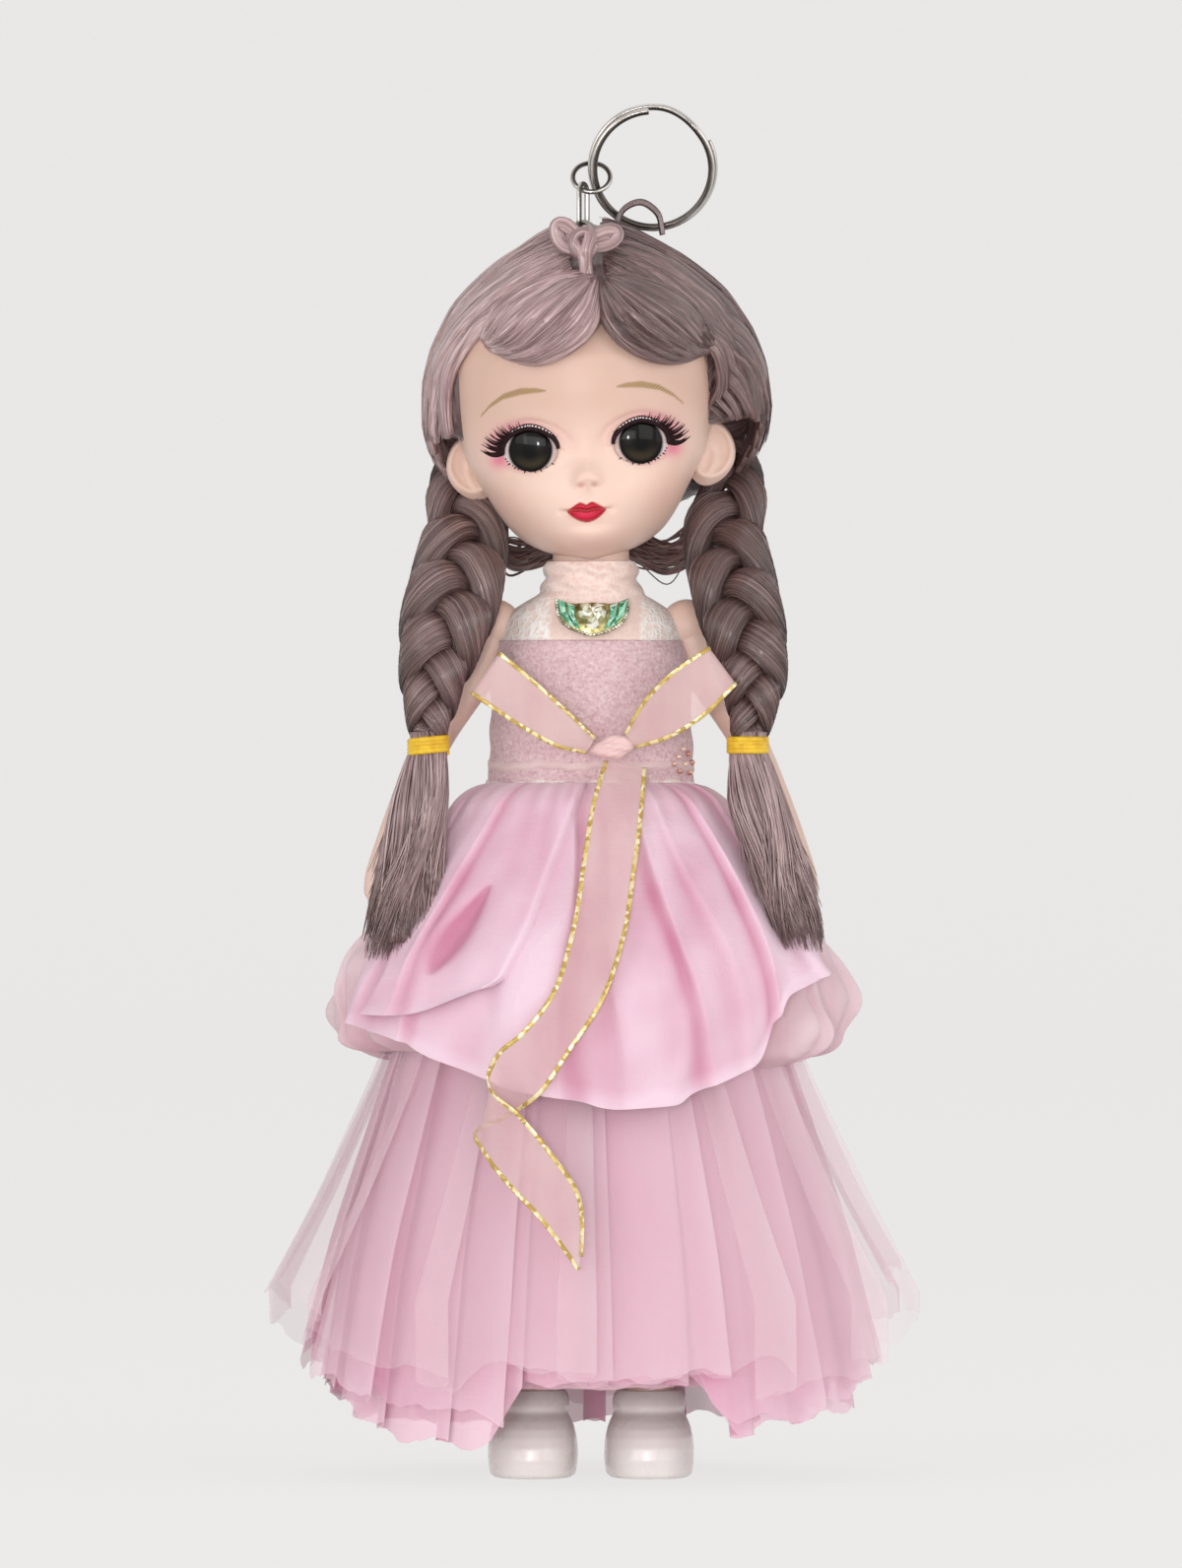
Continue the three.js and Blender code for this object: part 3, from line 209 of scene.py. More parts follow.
def step(value, low, high):
    """A soft step: 0 below low, 1 above high, and a smooth cubic rise between them."""
    t = np.clip((value - low) / (high - low), 0, 1)
    return t * t * (3 - 2 * t)


def bell(value, width):
    """A bell curve of height 1 at 0, whose half width is given."""
    return np.exp(-((value / width) ** 2))


def smooth_rows(rows, count, blur):
    """A table whose first column is a height, at evenly spaced heights, with each of the other
    columns averaged with its neighbours by a bell curve of the blur's width."""
    rows = np.asarray(rows, float)
    heights = np.linspace(rows[0, 0], rows[-1, 0], count)
    values = np.stack([np.interp(heights, rows[:, 0], column) for column in rows.T[1:]], 1)
    reach = int(3 * blur / (heights[1] - heights[0])) + 1
    kernel = bell(np.arange(-reach, reach + 1) * (heights[1] - heights[0]), 1.4 * blur)
    padded = np.pad(values, ((reach, reach), (0, 0)), "reflect", reflect_type="odd")
    soft = [np.convolve(column, kernel / kernel.sum(), "valid") for column in padded.T]
    return np.column_stack([heights, *soft])


def look_up(table, heights, column):
    """A column of a table at any heights."""
    return np.interp(heights, table[:, 0], table[:, column])


def depth_at(table, heights, front):
    """The depth to the front or to the back in a table of outlines."""
    return np.where(front, look_up(table, heights, 2), look_up(table, heights, 3))


def smoothed(row, reach, mode):
    """A row averaged by a bell curve with its neighbours up to a reach."""
    kernel = bell(np.linspace(-2, 2, 2 * reach + 1), 1)
    return np.convolve(np.pad(row, reach, mode), kernel / kernel.sum(), "valid")


# %% Helpers for materials


def linear(*colors):
    """Screen colours, 0 to 255 in each part, as the linear colours that shaders work with."""
    part = np.array(colors) / 255
    return np.where(part <= 0.04045, part / 12.92, ((part + 0.055) / 1.055) ** 2.4)


def feed(socket, value):
    """Links a socket into another one, or sets its own value. A colour is three screen numbers."""
    if isinstance(value, bpy.types.NodeSocket):
        socket.id_data.links.new(value, socket)
    elif socket.type == "RGBA":
        socket.default_value = (*linear(value)[0], 1.0)
    else:
        socket.default_value = value


def node(material, kind, settings=(), **inputs):
    """Adds a node, sets its properties and feeds its inputs. An input's name has _ for a space, and
    one that starts with n is a number."""
    made = material.node_tree.nodes.new(kind)
    for key, value in dict(settings).items():
        setattr(made, key, value)
    for key, value in inputs.items():
        numbered = key[0] == "n" and key[1:].isdigit()
        feed(made.inputs[int(key[1:])] if numbered else made.inputs[key.replace("_", " ")], value)
    return made


def finish(name, color, rough, **sockets):
    """A new material with one Principled shader, whose sockets are named with _ for a space."""
    made = bpy.data.materials.new(name)
    made.use_nodes = True
    shade(made, Base_Color=color, Roughness=rough, **sockets)
    return made


def shade(material, **sockets):
    """Feeds a material's Principled shader."""
    shader = material.node_tree.nodes["Principled BSDF"]
    for key, value in sockets.items():
        feed(shader.inputs[key.replace("_", " ")], value)


def spread(material, where="Object", scale=(1, 1, 1)):
    """Object or UV coordinates, stretched by a scale for each axis."""
    coordinates = node(material, "ShaderNodeTexCoord").outputs[where]
    return node(material, "ShaderNodeMapping", Vector=coordinates, Scale=scale).outputs[0]


def noise(material, vector, scale, detail=2.0, rough=0.5):
    """Cloudy noise from 0 to 1."""
    return node(material, "ShaderNodeTexNoise", Vector=vector, Scale=scale, Detail=detail,
                Roughness=rough).outputs["Fac"]


def cells(material, vector, scale, feature="F1", output="Distance"):
    """Voronoi cells: the distance to a cell's point or edge, or its colour."""
    return node(material, "ShaderNodeTexVoronoi", {"feature": feature}, Vector=vector,
                Scale=scale).outputs[output]


def ramp(material, value, *stops):
    """A colour for each value, from stops of a place and a colour."""
    made = node(material, "ShaderNodeValToRGB", Fac=value)
    elements = made.color_ramp.elements
    while len(elements) < len(stops):
        elements.new(1.0)
    for element, (place, color) in zip(elements, stops):
        element.position = place
        element.color = (*linear(color)[0], 1.0)
    return made.outputs["Color"]


def level(material, value, low, high, to_low=0.0, to_high=1.0):
    """A value moved from one range to another, and kept inside it."""
    return node(material, "ShaderNodeMapRange", Value=value, From_Min=low, From_Max=high,
                To_Min=to_low, To_Max=to_high).outputs[0]


def maths(material, operation, first, second=0.0):
    """A sum or another operation on two values."""
    return node(material, "ShaderNodeMath", {"operation": operation}, n0=first, n1=second).outputs[0]


def weighed(material, first, share, second, other):
    """The sum of two values, each times its own weight."""
    return maths(material, "ADD", maths(material, "MULTIPLY", first, share),
                 maths(material, "MULTIPLY", second, other))


def nudged(material, value, cloud, middle, amount):
    """A value moved by how far a cloud is from its middle, times an amount."""
    return weighed(material, value, 1.0, maths(material, "SUBTRACT", cloud, middle), amount)


def clouded(material, scale, detail, *stops):
    """Colours in clouds through the piece's own space."""
    return ramp(material, noise(material, spread(material), scale, detail), *stops)


def mixed(material, share, first, second, kind="MIX"):
    """Two colours mixed by a share."""
    return node(material, "ShaderNodeMix", {"data_type": "RGBA", "blend_type": kind},
                n0=share, n6=first, n7=second).outputs[2]


def bumped(material, height, strength, distance):
    """A normal from a height, whose full range is a distance in metres."""
    return node(material, "ShaderNodeBump", Height=height, Strength=strength, Distance=distance).outputs[0]


def attribute(material, name, output="Color"):
    """A colour or value that a piece carries at its points."""
    return node(material, "ShaderNodeAttribute", {"attribute_name": name}).outputs[output]


def paint(piece, name, values):
    """Stores one value or one colour for each point of a piece."""
    values = np.asarray(values, np.float32)
    kind = "FLOAT_COLOR" if values.ndim == 2 else "FLOAT"
    made = piece.data.attributes.new(name, kind, "POINT")
    if kind == "FLOAT_COLOR":
        values = np.column_stack([values, np.ones(len(values), np.float32)])
    made.data.foreach_set("color" if kind == "FLOAT_COLOR" else "value", values.ravel())


def dress(piece, material, slot, body, *nodes):
    """Gives a piece its material, lets it ride on a body, and names what it replaces. The slot is
    not used.
    """
    piece.data.materials.clear()
    piece.data.materials.append(material)
    if body:
        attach(piece, body)
    if nodes:
        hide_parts(*nodes)
    print(f"{piece.name}: {len(piece.data.polygons)} faces")
    return piece


# %% Backdrop
paper = (234, 233, 232)
sweep_width = 3400
sweep_front = -3400
sweep_back = 2800
sweep_height = 1800


def backdrop():
    """A sheet along X whose profile runs level, turns up in a quarter circle and runs upright."""
    turn = 600
    angle = np.linspace(0, np.pi / 2, 16)
    profile = np.concatenate([
        [[sweep_front, 0]],
        np.column_stack([sweep_back + turn * np.sin(angle), turn - turn * np.cos(angle)]),
        [[sweep_back + turn, sweep_height]],
    ])
    sides = np.linspace(-sweep_width, sweep_width, 3)
    grid = np.empty((len(profile), 3, 3))
    grid[..., 0] = sides[None]
    grid[..., 1:] = profile[:, None]
    return surface("backdrop", grid, inside=(0, -500, 500))


def ray_share(material):
    """1 for rays that show the backdrop itself: from the camera, in a mirror or through glass."""
    rays = node(material, "ShaderNodeLightPath").outputs
    seen = maths(material, "MAXIMUM", rays["Is Camera Ray"], rays["Is Glossy Ray"])
    return maths(material, "MAXIMUM", seen, rays["Is Transmission Ray"])


def paper_finish():
    """Glow at the paper's tone, mixed with a little diffuse for rays that show it."""
    made = bpy.data.materials.new("paper")
    made.use_nodes = True
    tree = made.node_tree
    tree.nodes.clear()
    grain = ramp(made, noise(made, spread(made), 900), (0.3, (233, 232, 231)), (0.7, paper))
    glow = node(made, "ShaderNodeEmission", Color=grain, Strength=1.07).outputs[0]
    plain = node(made, "ShaderNodeBsdfDiffuse", Color=grain).outputs[0]
    share = maths(made, "MULTIPLY", ray_share(made), 0.86)
    both = node(made, "ShaderNodeMixShader", n0=share, n1=plain, n2=glow).outputs[0]
    node(made, "ShaderNodeOutputMaterial", Surface=both)
    return made


floor = backdrop()
floor.data.materials.append(paper_finish())


def studio_air(ambient=0.55):
    """World light: the paper's tone where it shows, and a plainer grey that lights the doll."""
    world = bpy.data.worlds.new("studio")
    world.use_nodes = True
    bpy.context.scene.world = world
    share = ray_share(world)
    strength = maths(world, "ADD", maths(world, "MULTIPLY", share, 0.96 - ambient), ambient)
    background = world.node_tree.nodes["Background"]
    feed(background.inputs["Color"], paper)
    feed(background.inputs["Strength"], strength)


lamps_aim = Vector((0, 0, 0.11))


def softbox(name, place, size, power):
    """A rectangular lamp that faces the doll's chest. place and size are in metres."""
    lamp = bpy.data.lights.new(name, "AREA")
    lamp.shape = "RECTANGLE"
    lamp.size, lamp.size_y = size
    lamp.energy = power
    made = bpy.data.objects.new(name, lamp)
    made.location = place
    towards = lamps_aim - Vector(place)
    made.rotation_euler = towards.to_track_quat("-Z", "Y").to_euler()
    bpy.context.scene.collection.objects.link(made)


studio_air()
bpy.context.scene.view_settings.view_transform = "Standard"
softbox("eye_light", (-0.16, -1.75, 0.08), (0.13, 0.13), 5.0)
softbox("front", (-0.4, -1.7, 0.12), (1.8, 0.5), 9.8)
softbox("front_right", (0.9, -1.1, 0.42), (0.9, 0.8), 4.4)
softbox("side_left", (-0.85, -0.8, 0.4), (0.6, 0.7), 2.4)
softbox("side_right", (0.95, -0.2, 0.45), (0.5, 0.9), 1.5)
softbox("top", (-0.1, 0.0, 1.1), (0.5, 0.5), 0.8)

# %% [markdown]
# ## The head
# The head is one blow-moulded vinyl shell, so a single closed surface is right for it. It is a
# stack of rounded outlines, softened along its height, on a grid that is densest over the face.
# The eye openings, nose, cheeks, chin and lips are pushed out of or into that surface by formulas
# of the place on the face, and the same formulas paint the make-up as a colour at each point,
# together with painted shade under the fringe, in the nostrils and creases, and a painted
# highlight on the lower lip.
# The head leans a little, so everything on it is worked out in its own frame and turned at the end.

# %% Head frame and outline
head_tilt = math.radians(-3.4)
head_pivot = np.array([0.2, 0.0, 126.5])
head_rows = [
    (1.2, 1.0, 5.5, 2.0, 2), (1.5, 2.8, 9.5, 5.0, 2), (2.3, 5.6, 12.8, 8.0, 2), (3.3, 7.9, 15.0, 10.2, 2),
    (4.8, 10.0, 16.8, 12.4, 2), (6.4, 11.4, 17.6, 13.6, 2), (8.4, 12.7, 18.0, 14.8, 2.1),
    (10.4, 13.8, 18.2, 16, 2.2),
    (12.6, 15.1, 18.1, 17.4, 2.3), (15, 16.4, 17.9, 18.8, 2.4), (19, 17.6, 18.3, 20, 2.3),
    (24, 18.8, 19.2, 20.6, 2),
    (29, 19.4, 19.4, 20.6, 2), (34, 18.4, 18, 19.4, 2),
    (37.6, 15.4, 14.8, 16, 2), (41, 11.2, 10.8, 11.8, 2), (43.3, 5.8, 5.8, 6.4, 2), (44.4, 2, 2, 2, 2),
]
head_table = smooth_rows(head_rows, 400, 0.5)
eye_places = {"left": (-7.6, 16.5), "right": (7.7, 16.7)}
eye_half = 3.65
eye_slope = 0.05
lid_above = 3.0
lid_below = 2.9


def from_head(points):
    """Points of the head's frame in the doll's frame: turned about Y by the tilt, then moved."""
    points = np.asarray(points, float)
    x, y, z = np.moveaxis(points, -1, 0)
    c, s = math.cos(head_tilt), math.sin(head_tilt)
    return np.stack([c * x + s * z, y, c * z - s * x], -1) + head_pivot


def head_depth(x, z, front=True):
    """How far the plain head reaches along -Y (or +Y) at a place of the front view. The outline is
    (x / width) ** power + (y / depth) ** power = 1."""
    wide, deep, power = (look_up(head_table, z, column) for column in (1, 2 if front else 3, 4))
    return deep * np.maximum(0, 1 - np.minimum(1, np.abs(x) / wide) ** power) ** (1 / power)


print("head:", round(head_table[-1, 0], 1), "mm tall")

# %% Eye openings and features


def eye_ring(x, z, side):
    """1 on the rim of an eye's opening and below 1 inside it, for an almond whose upper lid is the
    taller: ((dx / width) ** 1.6 + (dz / height) ** 2.2) ** 0.5. Also gives the place in the eye,
    outwards first."""
    x0, z0 = eye_places[side]
    dx = signs[side] * (x - x0)
    dz = z - z0 - eye_slope * dx
    tall = np.where(dz > 0, lid_above, lid_below)
    ring = ((np.abs(dx) / eye_half) ** 1.6 + (np.abs(dz) / tall) ** 2.2) ** 0.5
    return ring, dx, dz


lips_place = (-0.35, 7.75)


def lip_edges(x):
    """Heights of the upper edge, the mouth line and the lower edge of the lips at a place across."""
    half = np.clip(np.abs(x) / 2.8, 0, 1)
    bow = 1.12 * (1 - half**1.7) + 0.12 * bell(np.abs(x) - 1.1, 0.5) - 0.34 * bell(x, 0.45)
    line = 0.05 - 0.16 * bell(x, 0.7) + 0.1 * half
    low = -1.66 * (1 - half**1.9) ** 0.95
    return bow, line, low


def relief(x, z):
    """How far each feature stands out of the plain head, in millimetres: bell-shaped nose, cheeks
    and chin, sunk eyes and lids, and two rolls for the lips."""
    out = 0.35 * bell(x, 1.5) * step(z, 11, 14) * (1 - step(z, 16, 22))
    out += 1.35 * bell(np.hypot(x / 1.75, (z - 12.5) / 1.55), 1)
    out += 0.45 * bell(np.hypot((np.abs(x) - 1.35) / 0.75, (z - 11.85) / 0.75), 1)
    out -= 0.5 * bell(np.hypot((np.abs(x) - 0.95) / 0.42, (z - 11.1) / 0.32), 1)
    out += 0.7 * bell(np.hypot((np.abs(x) - 9.6) / 4.6, (z - 9.3) / 3.8), 1)
    out += 0.9 * bell(np.hypot(x / 4.2, (z - 3.4) / 2.3), 1)
    out -= 0.45 * bell(np.hypot(x / 2.4, (z - 5.6) / 0.8), 1)
    out -= 0.25 * bell(np.hypot(x / 0.5, (z - 9.9) / 0.9), 1)
    for side in eye_places:
        ring, dx, dz = eye_ring(x, z, side)
        out -= 0.8 * bell(ring / 1.55, 1) * step(ring, 0.9, 1.05)
        out -= 4.6 * (1 - step(ring, 0.94, 1.03))
        lid = bell(ring - 1.13, 0.1) * np.where(dz > 0, 1.0, 0.45)
        out += 0.42 * lid
        out -= 0.16 * bell(ring - 1.42, 0.12) * step(dz, 0.3, 1.6)
    lx, lz = x - lips_place[0], z - lips_place[1]
    bow, line, low = lip_edges(lx)
    upper = step(lz, line - 0.05, line + 0.25) * (1 - step(lz, bow - 0.3, bow + 0.1))
    lower = step(lz, low - 0.1, low + 0.5) * (1 - step(lz, line - 0.25, line + 0.05))
    wide = 1 - step(np.abs(lx), 2.1, 3.2)
    out += (0.55 * upper + 0.75 * lower) * wide
    out -= 0.28 * bell(lz - line, 0.16) * (1 - step(np.abs(lx), 3.0, 3.8))
    out -= 0.25 * bell(np.hypot((np.abs(lx) - 3.6) / 0.5, lz / 0.5), 1)
    return out


# %% Head surface


def head_grid(rows=212, columns=330):
    """The whole head. u from -1 to 1 gives an angle from the front, pi (0.35 u + 0.65 u^3), which
    packs the columns over the face, and the heights are closest from chin to brow."""
    heights = np.concatenate([
        1.2 + 2.8 * np.linspace(0, 1, 22, endpoint=False) ** 1.6, np.linspace(4, 27, 150, endpoint=False),
        np.linspace(27, 44.4, rows - 172),
    ])
    u = np.arange(columns) / columns * 2 - 1
    angle = np.pi * (0.35 * u + 0.65 * u**3)
    z, a = np.meshgrid(heights, angle, indexing="ij")
    x = look_up(head_table, z, 1) * np.sin(a)
    front = np.cos(a) > 0
    y = np.where(front, -head_depth(x, z), head_depth(x, z, False))
    facing = np.where(front, step(np.cos(a), 0.0, 0.25), 0)
    y = y - relief(x, z) * facing
    return np.stack([x, y, z], -1)


def make_up_and_shading(points):
    """The painted face: a mix of skin, blush, eye shadow, brows and lips, each by its own mask, with
    painted shade over the upper face, in the nostrils, along the lower lid and in the mouth line,
    and a painted highlight on the lower lip.
    """
    x, y, z = np.moveaxis(points, -1, 0)
    front = step(-y, 1, 6)
    skin, blush, shadow, upper_face_shade = linear(
        (238, 208, 193), (238, 184, 166), (232, 124, 154), (214, 180, 164))
    brow, lip, lip_highlight = linear((146, 118, 52), (186, 0, 42), (222, 34, 80))
    liner, crease_shade = linear((58, 22, 26), (196, 140, 124))
    color = np.broadcast_to(skin, (*x.shape, 3)).copy()

    def lay(mask, paint_color):
        nonlocal color
        mask = np.clip(mask * front, 0, 1)[..., None]
        color = color * (1 - mask) + paint_color * mask

    lay((0.26 + 0.1 * (x > 0)) * bell(np.hypot((np.abs(x) - 12.2) / 4.2, (z - 9.4) / 4.0), 1), blush)
    # painted shade: the upper face is painted darker from about the eyes upwards, most of all under the
    # fringe
    lay(0.85 * step(z, 14, 25), upper_face_shade)
    lay(0.22 * bell(np.hypot(x / 5, (z - 2.4) / 2.6), 1), blush)
    # painted shade: a pink band at the top of the forehead, under the fringe
    lay(0.3 * step(z, 31, 37), blush)
    # painted shade in the nostrils
    lay(0.55 * bell(np.hypot((np.abs(x) - 0.95) / 0.42, (z - 11.1) / 0.3), 1), crease_shade)
    for side in eye_places:
        ring, dx, dz = eye_ring(x, z, side)
        upper = step(dz, -0.6, 1.2)
        outer = step(dx, -2.8, 3.4)
        lay(0.72 * bell(ring - 1.12, 0.4) * upper * (0.22 + 0.78 * outer), shadow)
        lay(0.85 * bell(np.hypot((dx - 4.5) / 1.3, (dz + 1.3) / 1.15), 1), shadow)
        lay(0.35 * bell(ring - 1.1, 0.12) * (1 - upper) * step(dx, -2, 3), shadow)
        lay(0.9 * bell(ring - 1.03, 0.045) * upper, liner)
        # painted shade along the rim of the lower lid
        lay(0.5 * bell(ring - 1.03, 0.03) * (1 - upper), crease_shade)
    sign = np.where(x < 0, -1, 1)
    outward = np.abs(x + 0.1)
    middle = np.interp(outward, [4.9, 6.5, 8.4, 10.8, 12.7, 14.2], [24.5, 24.65, 24.65, 24.15, 23.05, 21.65])
    half = np.interp(outward, [4.8, 6.0, 8.2, 10.2, 12.4, 14.3], [0.0, 0.3, 0.48, 0.42, 0.24, 0.0])
    hairs = 0.75 + 0.25 * np.sin(outward * 19 + z * 9)
    lay(hairs * (1 - step(np.abs(z - middle), half * 0.55, half + 0.16)) * (half > 0.02), brow)
    lx, lz = x - lips_place[0], z - lips_place[1]
    bow, line, low = lip_edges(lx)
    inside = (1 - step(lz, bow - 0.06, bow + 0.08)) * step(lz, low - 0.08, low + 0.06)
    lay(inside * (1 - step(np.abs(lx), 2.6, 2.8)), lip)
    # painted highlight: a paler spot on the lower lip
    lip_highlight_mask = bell(np.hypot((lx + 0.3) / 1.5, (lz + 0.75) / 0.42), 1)
    lay(0.75 * lip_highlight_mask, lip_highlight)
    # painted shade in the mouth line between the lips
    lay(0.8 * bell(lz - line, 0.13) * (1 - step(np.abs(lx), 2.6, 3.95)), (lip + crease_shade) / 2.6)
    return color


ear_places = {"left": (-15.9, 1.2, 14.9), "right": (17.3, 1.2, 15.1)}


def ear_grid(side, rows=48, columns=60):
    """An ear: a flattened ball with a raised rim, a hollow and a small fold in front of it."""
    sign = signs[side]
    local = ball_grid((0, 0, 0), 1, rows, columns, 0)
    edge = np.hypot(local[..., 0] * sign - 0.05, local[..., 2] - 0.08)
    face = step(-local[..., 1], 0, 0.4)
    fold = bell(np.hypot(local[..., 0] * sign + 0.1, (local[..., 2] + 0.2) / 1.6) - 0.3, 0.09)
    dent = face * (1.15 * bell(edge, 0.55) - 0.5 * bell(edge - 0.8, 0.13) - 0.35 * fold)
    x = (3.6 - 0.6 * local[..., 2] ** 2) * local[..., 0]
    y = 1.5 * local[..., 1] + 1.05 * dent
    z = 4.6 * local[..., 2]
    lean = sign * 0.25
    c, s = math.cos(lean), math.sin(lean)
    return np.stack([x * c + z * s, y, z * c - x * s], -1) + ear_places[side]


def skin_finish(name, painted):
    """Matt vinyl: soft colour clouds, a fine moulded grain, and a little light that goes under it."""
    made = finish(
        name, (232, 202, 188), 0.42, Subsurface_Weight=0.12, Subsurface_Scale=0.002,
        Subsurface_Radius=(1.0, 0.35, 0.2), Coat_Weight=0.05, Coat_Roughness=0.35, Specular_IOR_Level=0.35)
    where = spread(made)
    plain = clouded(made, 60, 2.0, (0.3, (229, 198, 183)), (0.75, (235, 207, 194)))
    base = attribute(made, "paint") if painted else plain
    clouds = clouded(made, 130, 3, (0.3, (246, 238, 234)), (0.7, (255, 255, 255)))
    shade(made, Base_Color=mixed(made, 0.5, base, clouds, "MULTIPLY"),
          Normal=bumped(made, noise(made, where, 2600, 2), 0.12, 0.0001),
          Roughness=level(made, noise(made, where, 300, 2), 0, 1, 0.36, 0.5))
    return made


vinyl = skin_finish("skin_vinyl", False)
face_vinyl = skin_finish("face_vinyl", True)
face = head_grid()
head_skin = solid("head_skin", from_head(face))
colors = make_up_and_shading(face).reshape(-1, 3)
paint(head_skin, "paint", np.concatenate([colors, colors[:1], colors[-1:]]))
dress(head_skin, face_vinyl, "face_vinyl", "head", "head_shell")
for side, place in ear_places.items():
    ear = surface(f"ear_{side}", from_head(ear_grid(side)), around=True, inside=from_head(place))
    dress(ear, vinyl, "face_vinyl", "head")

# %% [markdown]
# ## Eyes and lashes
# The eyes are glossy printed domes behind the openings. Their rings of colour depend only on the
# distance from the middle of the iris, apart from a painted shadow under the upper lid, so they are
# painted at the points of a fine dome, and a clear coat catches the small lamp. The lashes are a
# moulded fringe: a dark band along the upper lid, a row of painted highlights on it, pale dashes
# that stand for glints, and curved blades that lengthen towards the outer corner.

# %% Eyes


def eye_grid(side, rows=70, columns=96):
    """A lens-shaped eye, its pole to the front: radius 4.6 across. It follows the plain head 2 mm
    deeper, turned a little to the front, bulges by 1.7 cos t there and goes back by 3.5 cos t."""
    x0, z0 = eye_places[side]
    ball = ball_grid((0, 0, 0), 1, rows, columns, 0.002)
    across, up, front = np.moveaxis(ball, -1, 0)
    x, z = x0 + 4.6 * across, z0 + 4.6 * up
    bulge = np.where(front > 0, 1.7, 3.5) * front
    return np.stack([x, 2.0 - head_depth(x, z) - 0.17 * 4.6 * across * signs[side] - bulge, z], -1)


def eye_paint(points, side):
    """Pupil, iris, dark rim and white, by distance, with a paler glow low in the iris, and a painted
    shadow that darkens the top of the eye under the upper lid.
    """
    x0, z0 = eye_places[side]
    dx, dz = points[..., 0] - x0, points[..., 2] - z0
    away = np.hypot(dx, dz)
    black, iris, glow, rim, white = linear((4, 3, 3), (20, 16, 13), (66, 56, 38), (6, 4, 4), (232, 214, 212))
    rays = 0.85 + 0.15 * np.sin(np.arctan2(dz, dx) * 34 + np.sin(away * 9))
    color = black + (iris * rays[..., None] - black) * step(away, 0.75, 1.45)[..., None]
    low = step(-dz, 0.3, 2.1) * bell(away - 1.9, 0.7) * (0.6 + 0.4 * rays)
    color = color + (glow - color) * (0.75 * low)[..., None]
    color = color + (rim - color) * bell(away - 2.84, 0.28)[..., None]
    color = color + (white - color) * step(away, 3.0, 3.14)[..., None]
    # painted shadow: the top of the eye is darkened under the upper lid
    shadow = step(dz, 1.0, 3.0) * 0.6
    return color * (1 - shadow)[..., None]


eye_gloss = finish("eye_plastic", (30, 26, 24), 0.3, Specular_IOR_Level=0.05, Coat_Weight=0.25,
                   Coat_Roughness=0.05)
speckle = clouded(eye_gloss, 2200, 3, (0.3, (225, 225, 225)), (0.8, (255, 255, 255)))
shade(eye_gloss, Base_Color=mixed(eye_gloss, 0.5, attribute(eye_gloss, "paint"), speckle, "MULTIPLY"))
for side in eye_places:
    grid = eye_grid(side)
    centre = from_head([eye_places[side][0], -13.5, eye_places[side][1]])
    eye = surface(f"eyeball_{side}", from_head(grid), around=True, inside=centre)
    paint(eye, "paint", eye_paint(grid, side).reshape(-1, 3))
    dress(eye, eye_gloss, "eye_plastic", "head", f"eye_{side}")

# %% Lashes


def lid_point(side, turn, reach=1.0, lift=0.0):
    """A place on the rim of an eye. turn runs from 0 at the outer corner over the top to pi."""
    x0, z0 = eye_places[side]
    c, s = np.cos(turn), np.sin(turn)
    dx = eye_half * reach * np.abs(c) ** 1.25 * np.sign(c)
    dz = np.where(s > 0, lid_above, lid_below) * reach * np.abs(s) ** 0.91 * np.sign(s)
    x = x0 + signs[side] * dx
    z = z0 + dz + eye_slope * dx
    y = -head_depth(x, z) - 0.05 - lift
    return np.stack([x, y + 0 * x, z], -1)


def lash_grids(side, count=46, rows=12):
    """Curved blades from the upper lid, longest by the outer corner, and a few small lower ones."""
    sign = signs[side]
    grids = []
    upper = np.concatenate([np.linspace(-0.12, 0.75, 22), np.linspace(0.8, 2.7, count - 22)])
    lower = np.concatenate([-np.linspace(0.35, 1.25, 8), -np.linspace(1.5, 2.5, 5)])
    for i, turn in enumerate(np.concatenate([upper, lower])):
        along = max(0.0, 1 - abs(turn) / 1.6) if turn > -0.2 else 0.0
        length = 0.6 + 2.7 * along**1.2 + 0.3 * math.sin(i * 2.4) - 0.25 * (turn < -0.2)
        lean = 0.15 + 0.75 * along
        root = lid_point(side, np.array(turn), 1.03)
        out = np.array([sign * math.cos(turn), 0, math.sin(turn)])
        rise = (0.05 + 0.2 * math.sin(i * 1.7)) * (turn > 0)
        aim = unit(out + np.array([sign * lean * 0.8, -1.0 + 0.35 * along, rise]))
        share = np.linspace(0, 1, rows)[:, None]
        droop = np.array([0, 0, -0.35 * along]) * np.sin(share * np.pi)
        path = root + aim * length * share + droop + np.array([0, -0.25, 0.6 * along]) * share**2
        girth = 0.1 + 0.1 * along
        grids.append(swept(path, girth * (1 - share[:, 0] ** 1.7) + 0.012, 0.1 * (1 - share[:, 0]) + 0.012,
                           (0, -1, 0), columns=5))
    return np.array(grids)


def rim_tube(side, first, last, wide, reach, lift, count=60):
    """A tapered tube along part of the rim."""
    turn = np.linspace(first, last, count)
    path = lid_point(side, turn, reach, lift)
    taper = 0.25 + 0.75 * np.sin(np.linspace(0.12, np.pi - 0.12, count)) ** 0.6
    return swept(path, wide * taper, 0.75 * wide * taper, (0, -1, 0), columns=10)


lash_fibre = finish("lash_fibre", (30, 14, 15), 0.7, Specular_IOR_Level=0.2)
shade(lash_fibre, Base_Color=clouded(lash_fibre, 1800, 2.0, (0.3, (16, 7, 8)), (0.7, (46, 20, 24))))
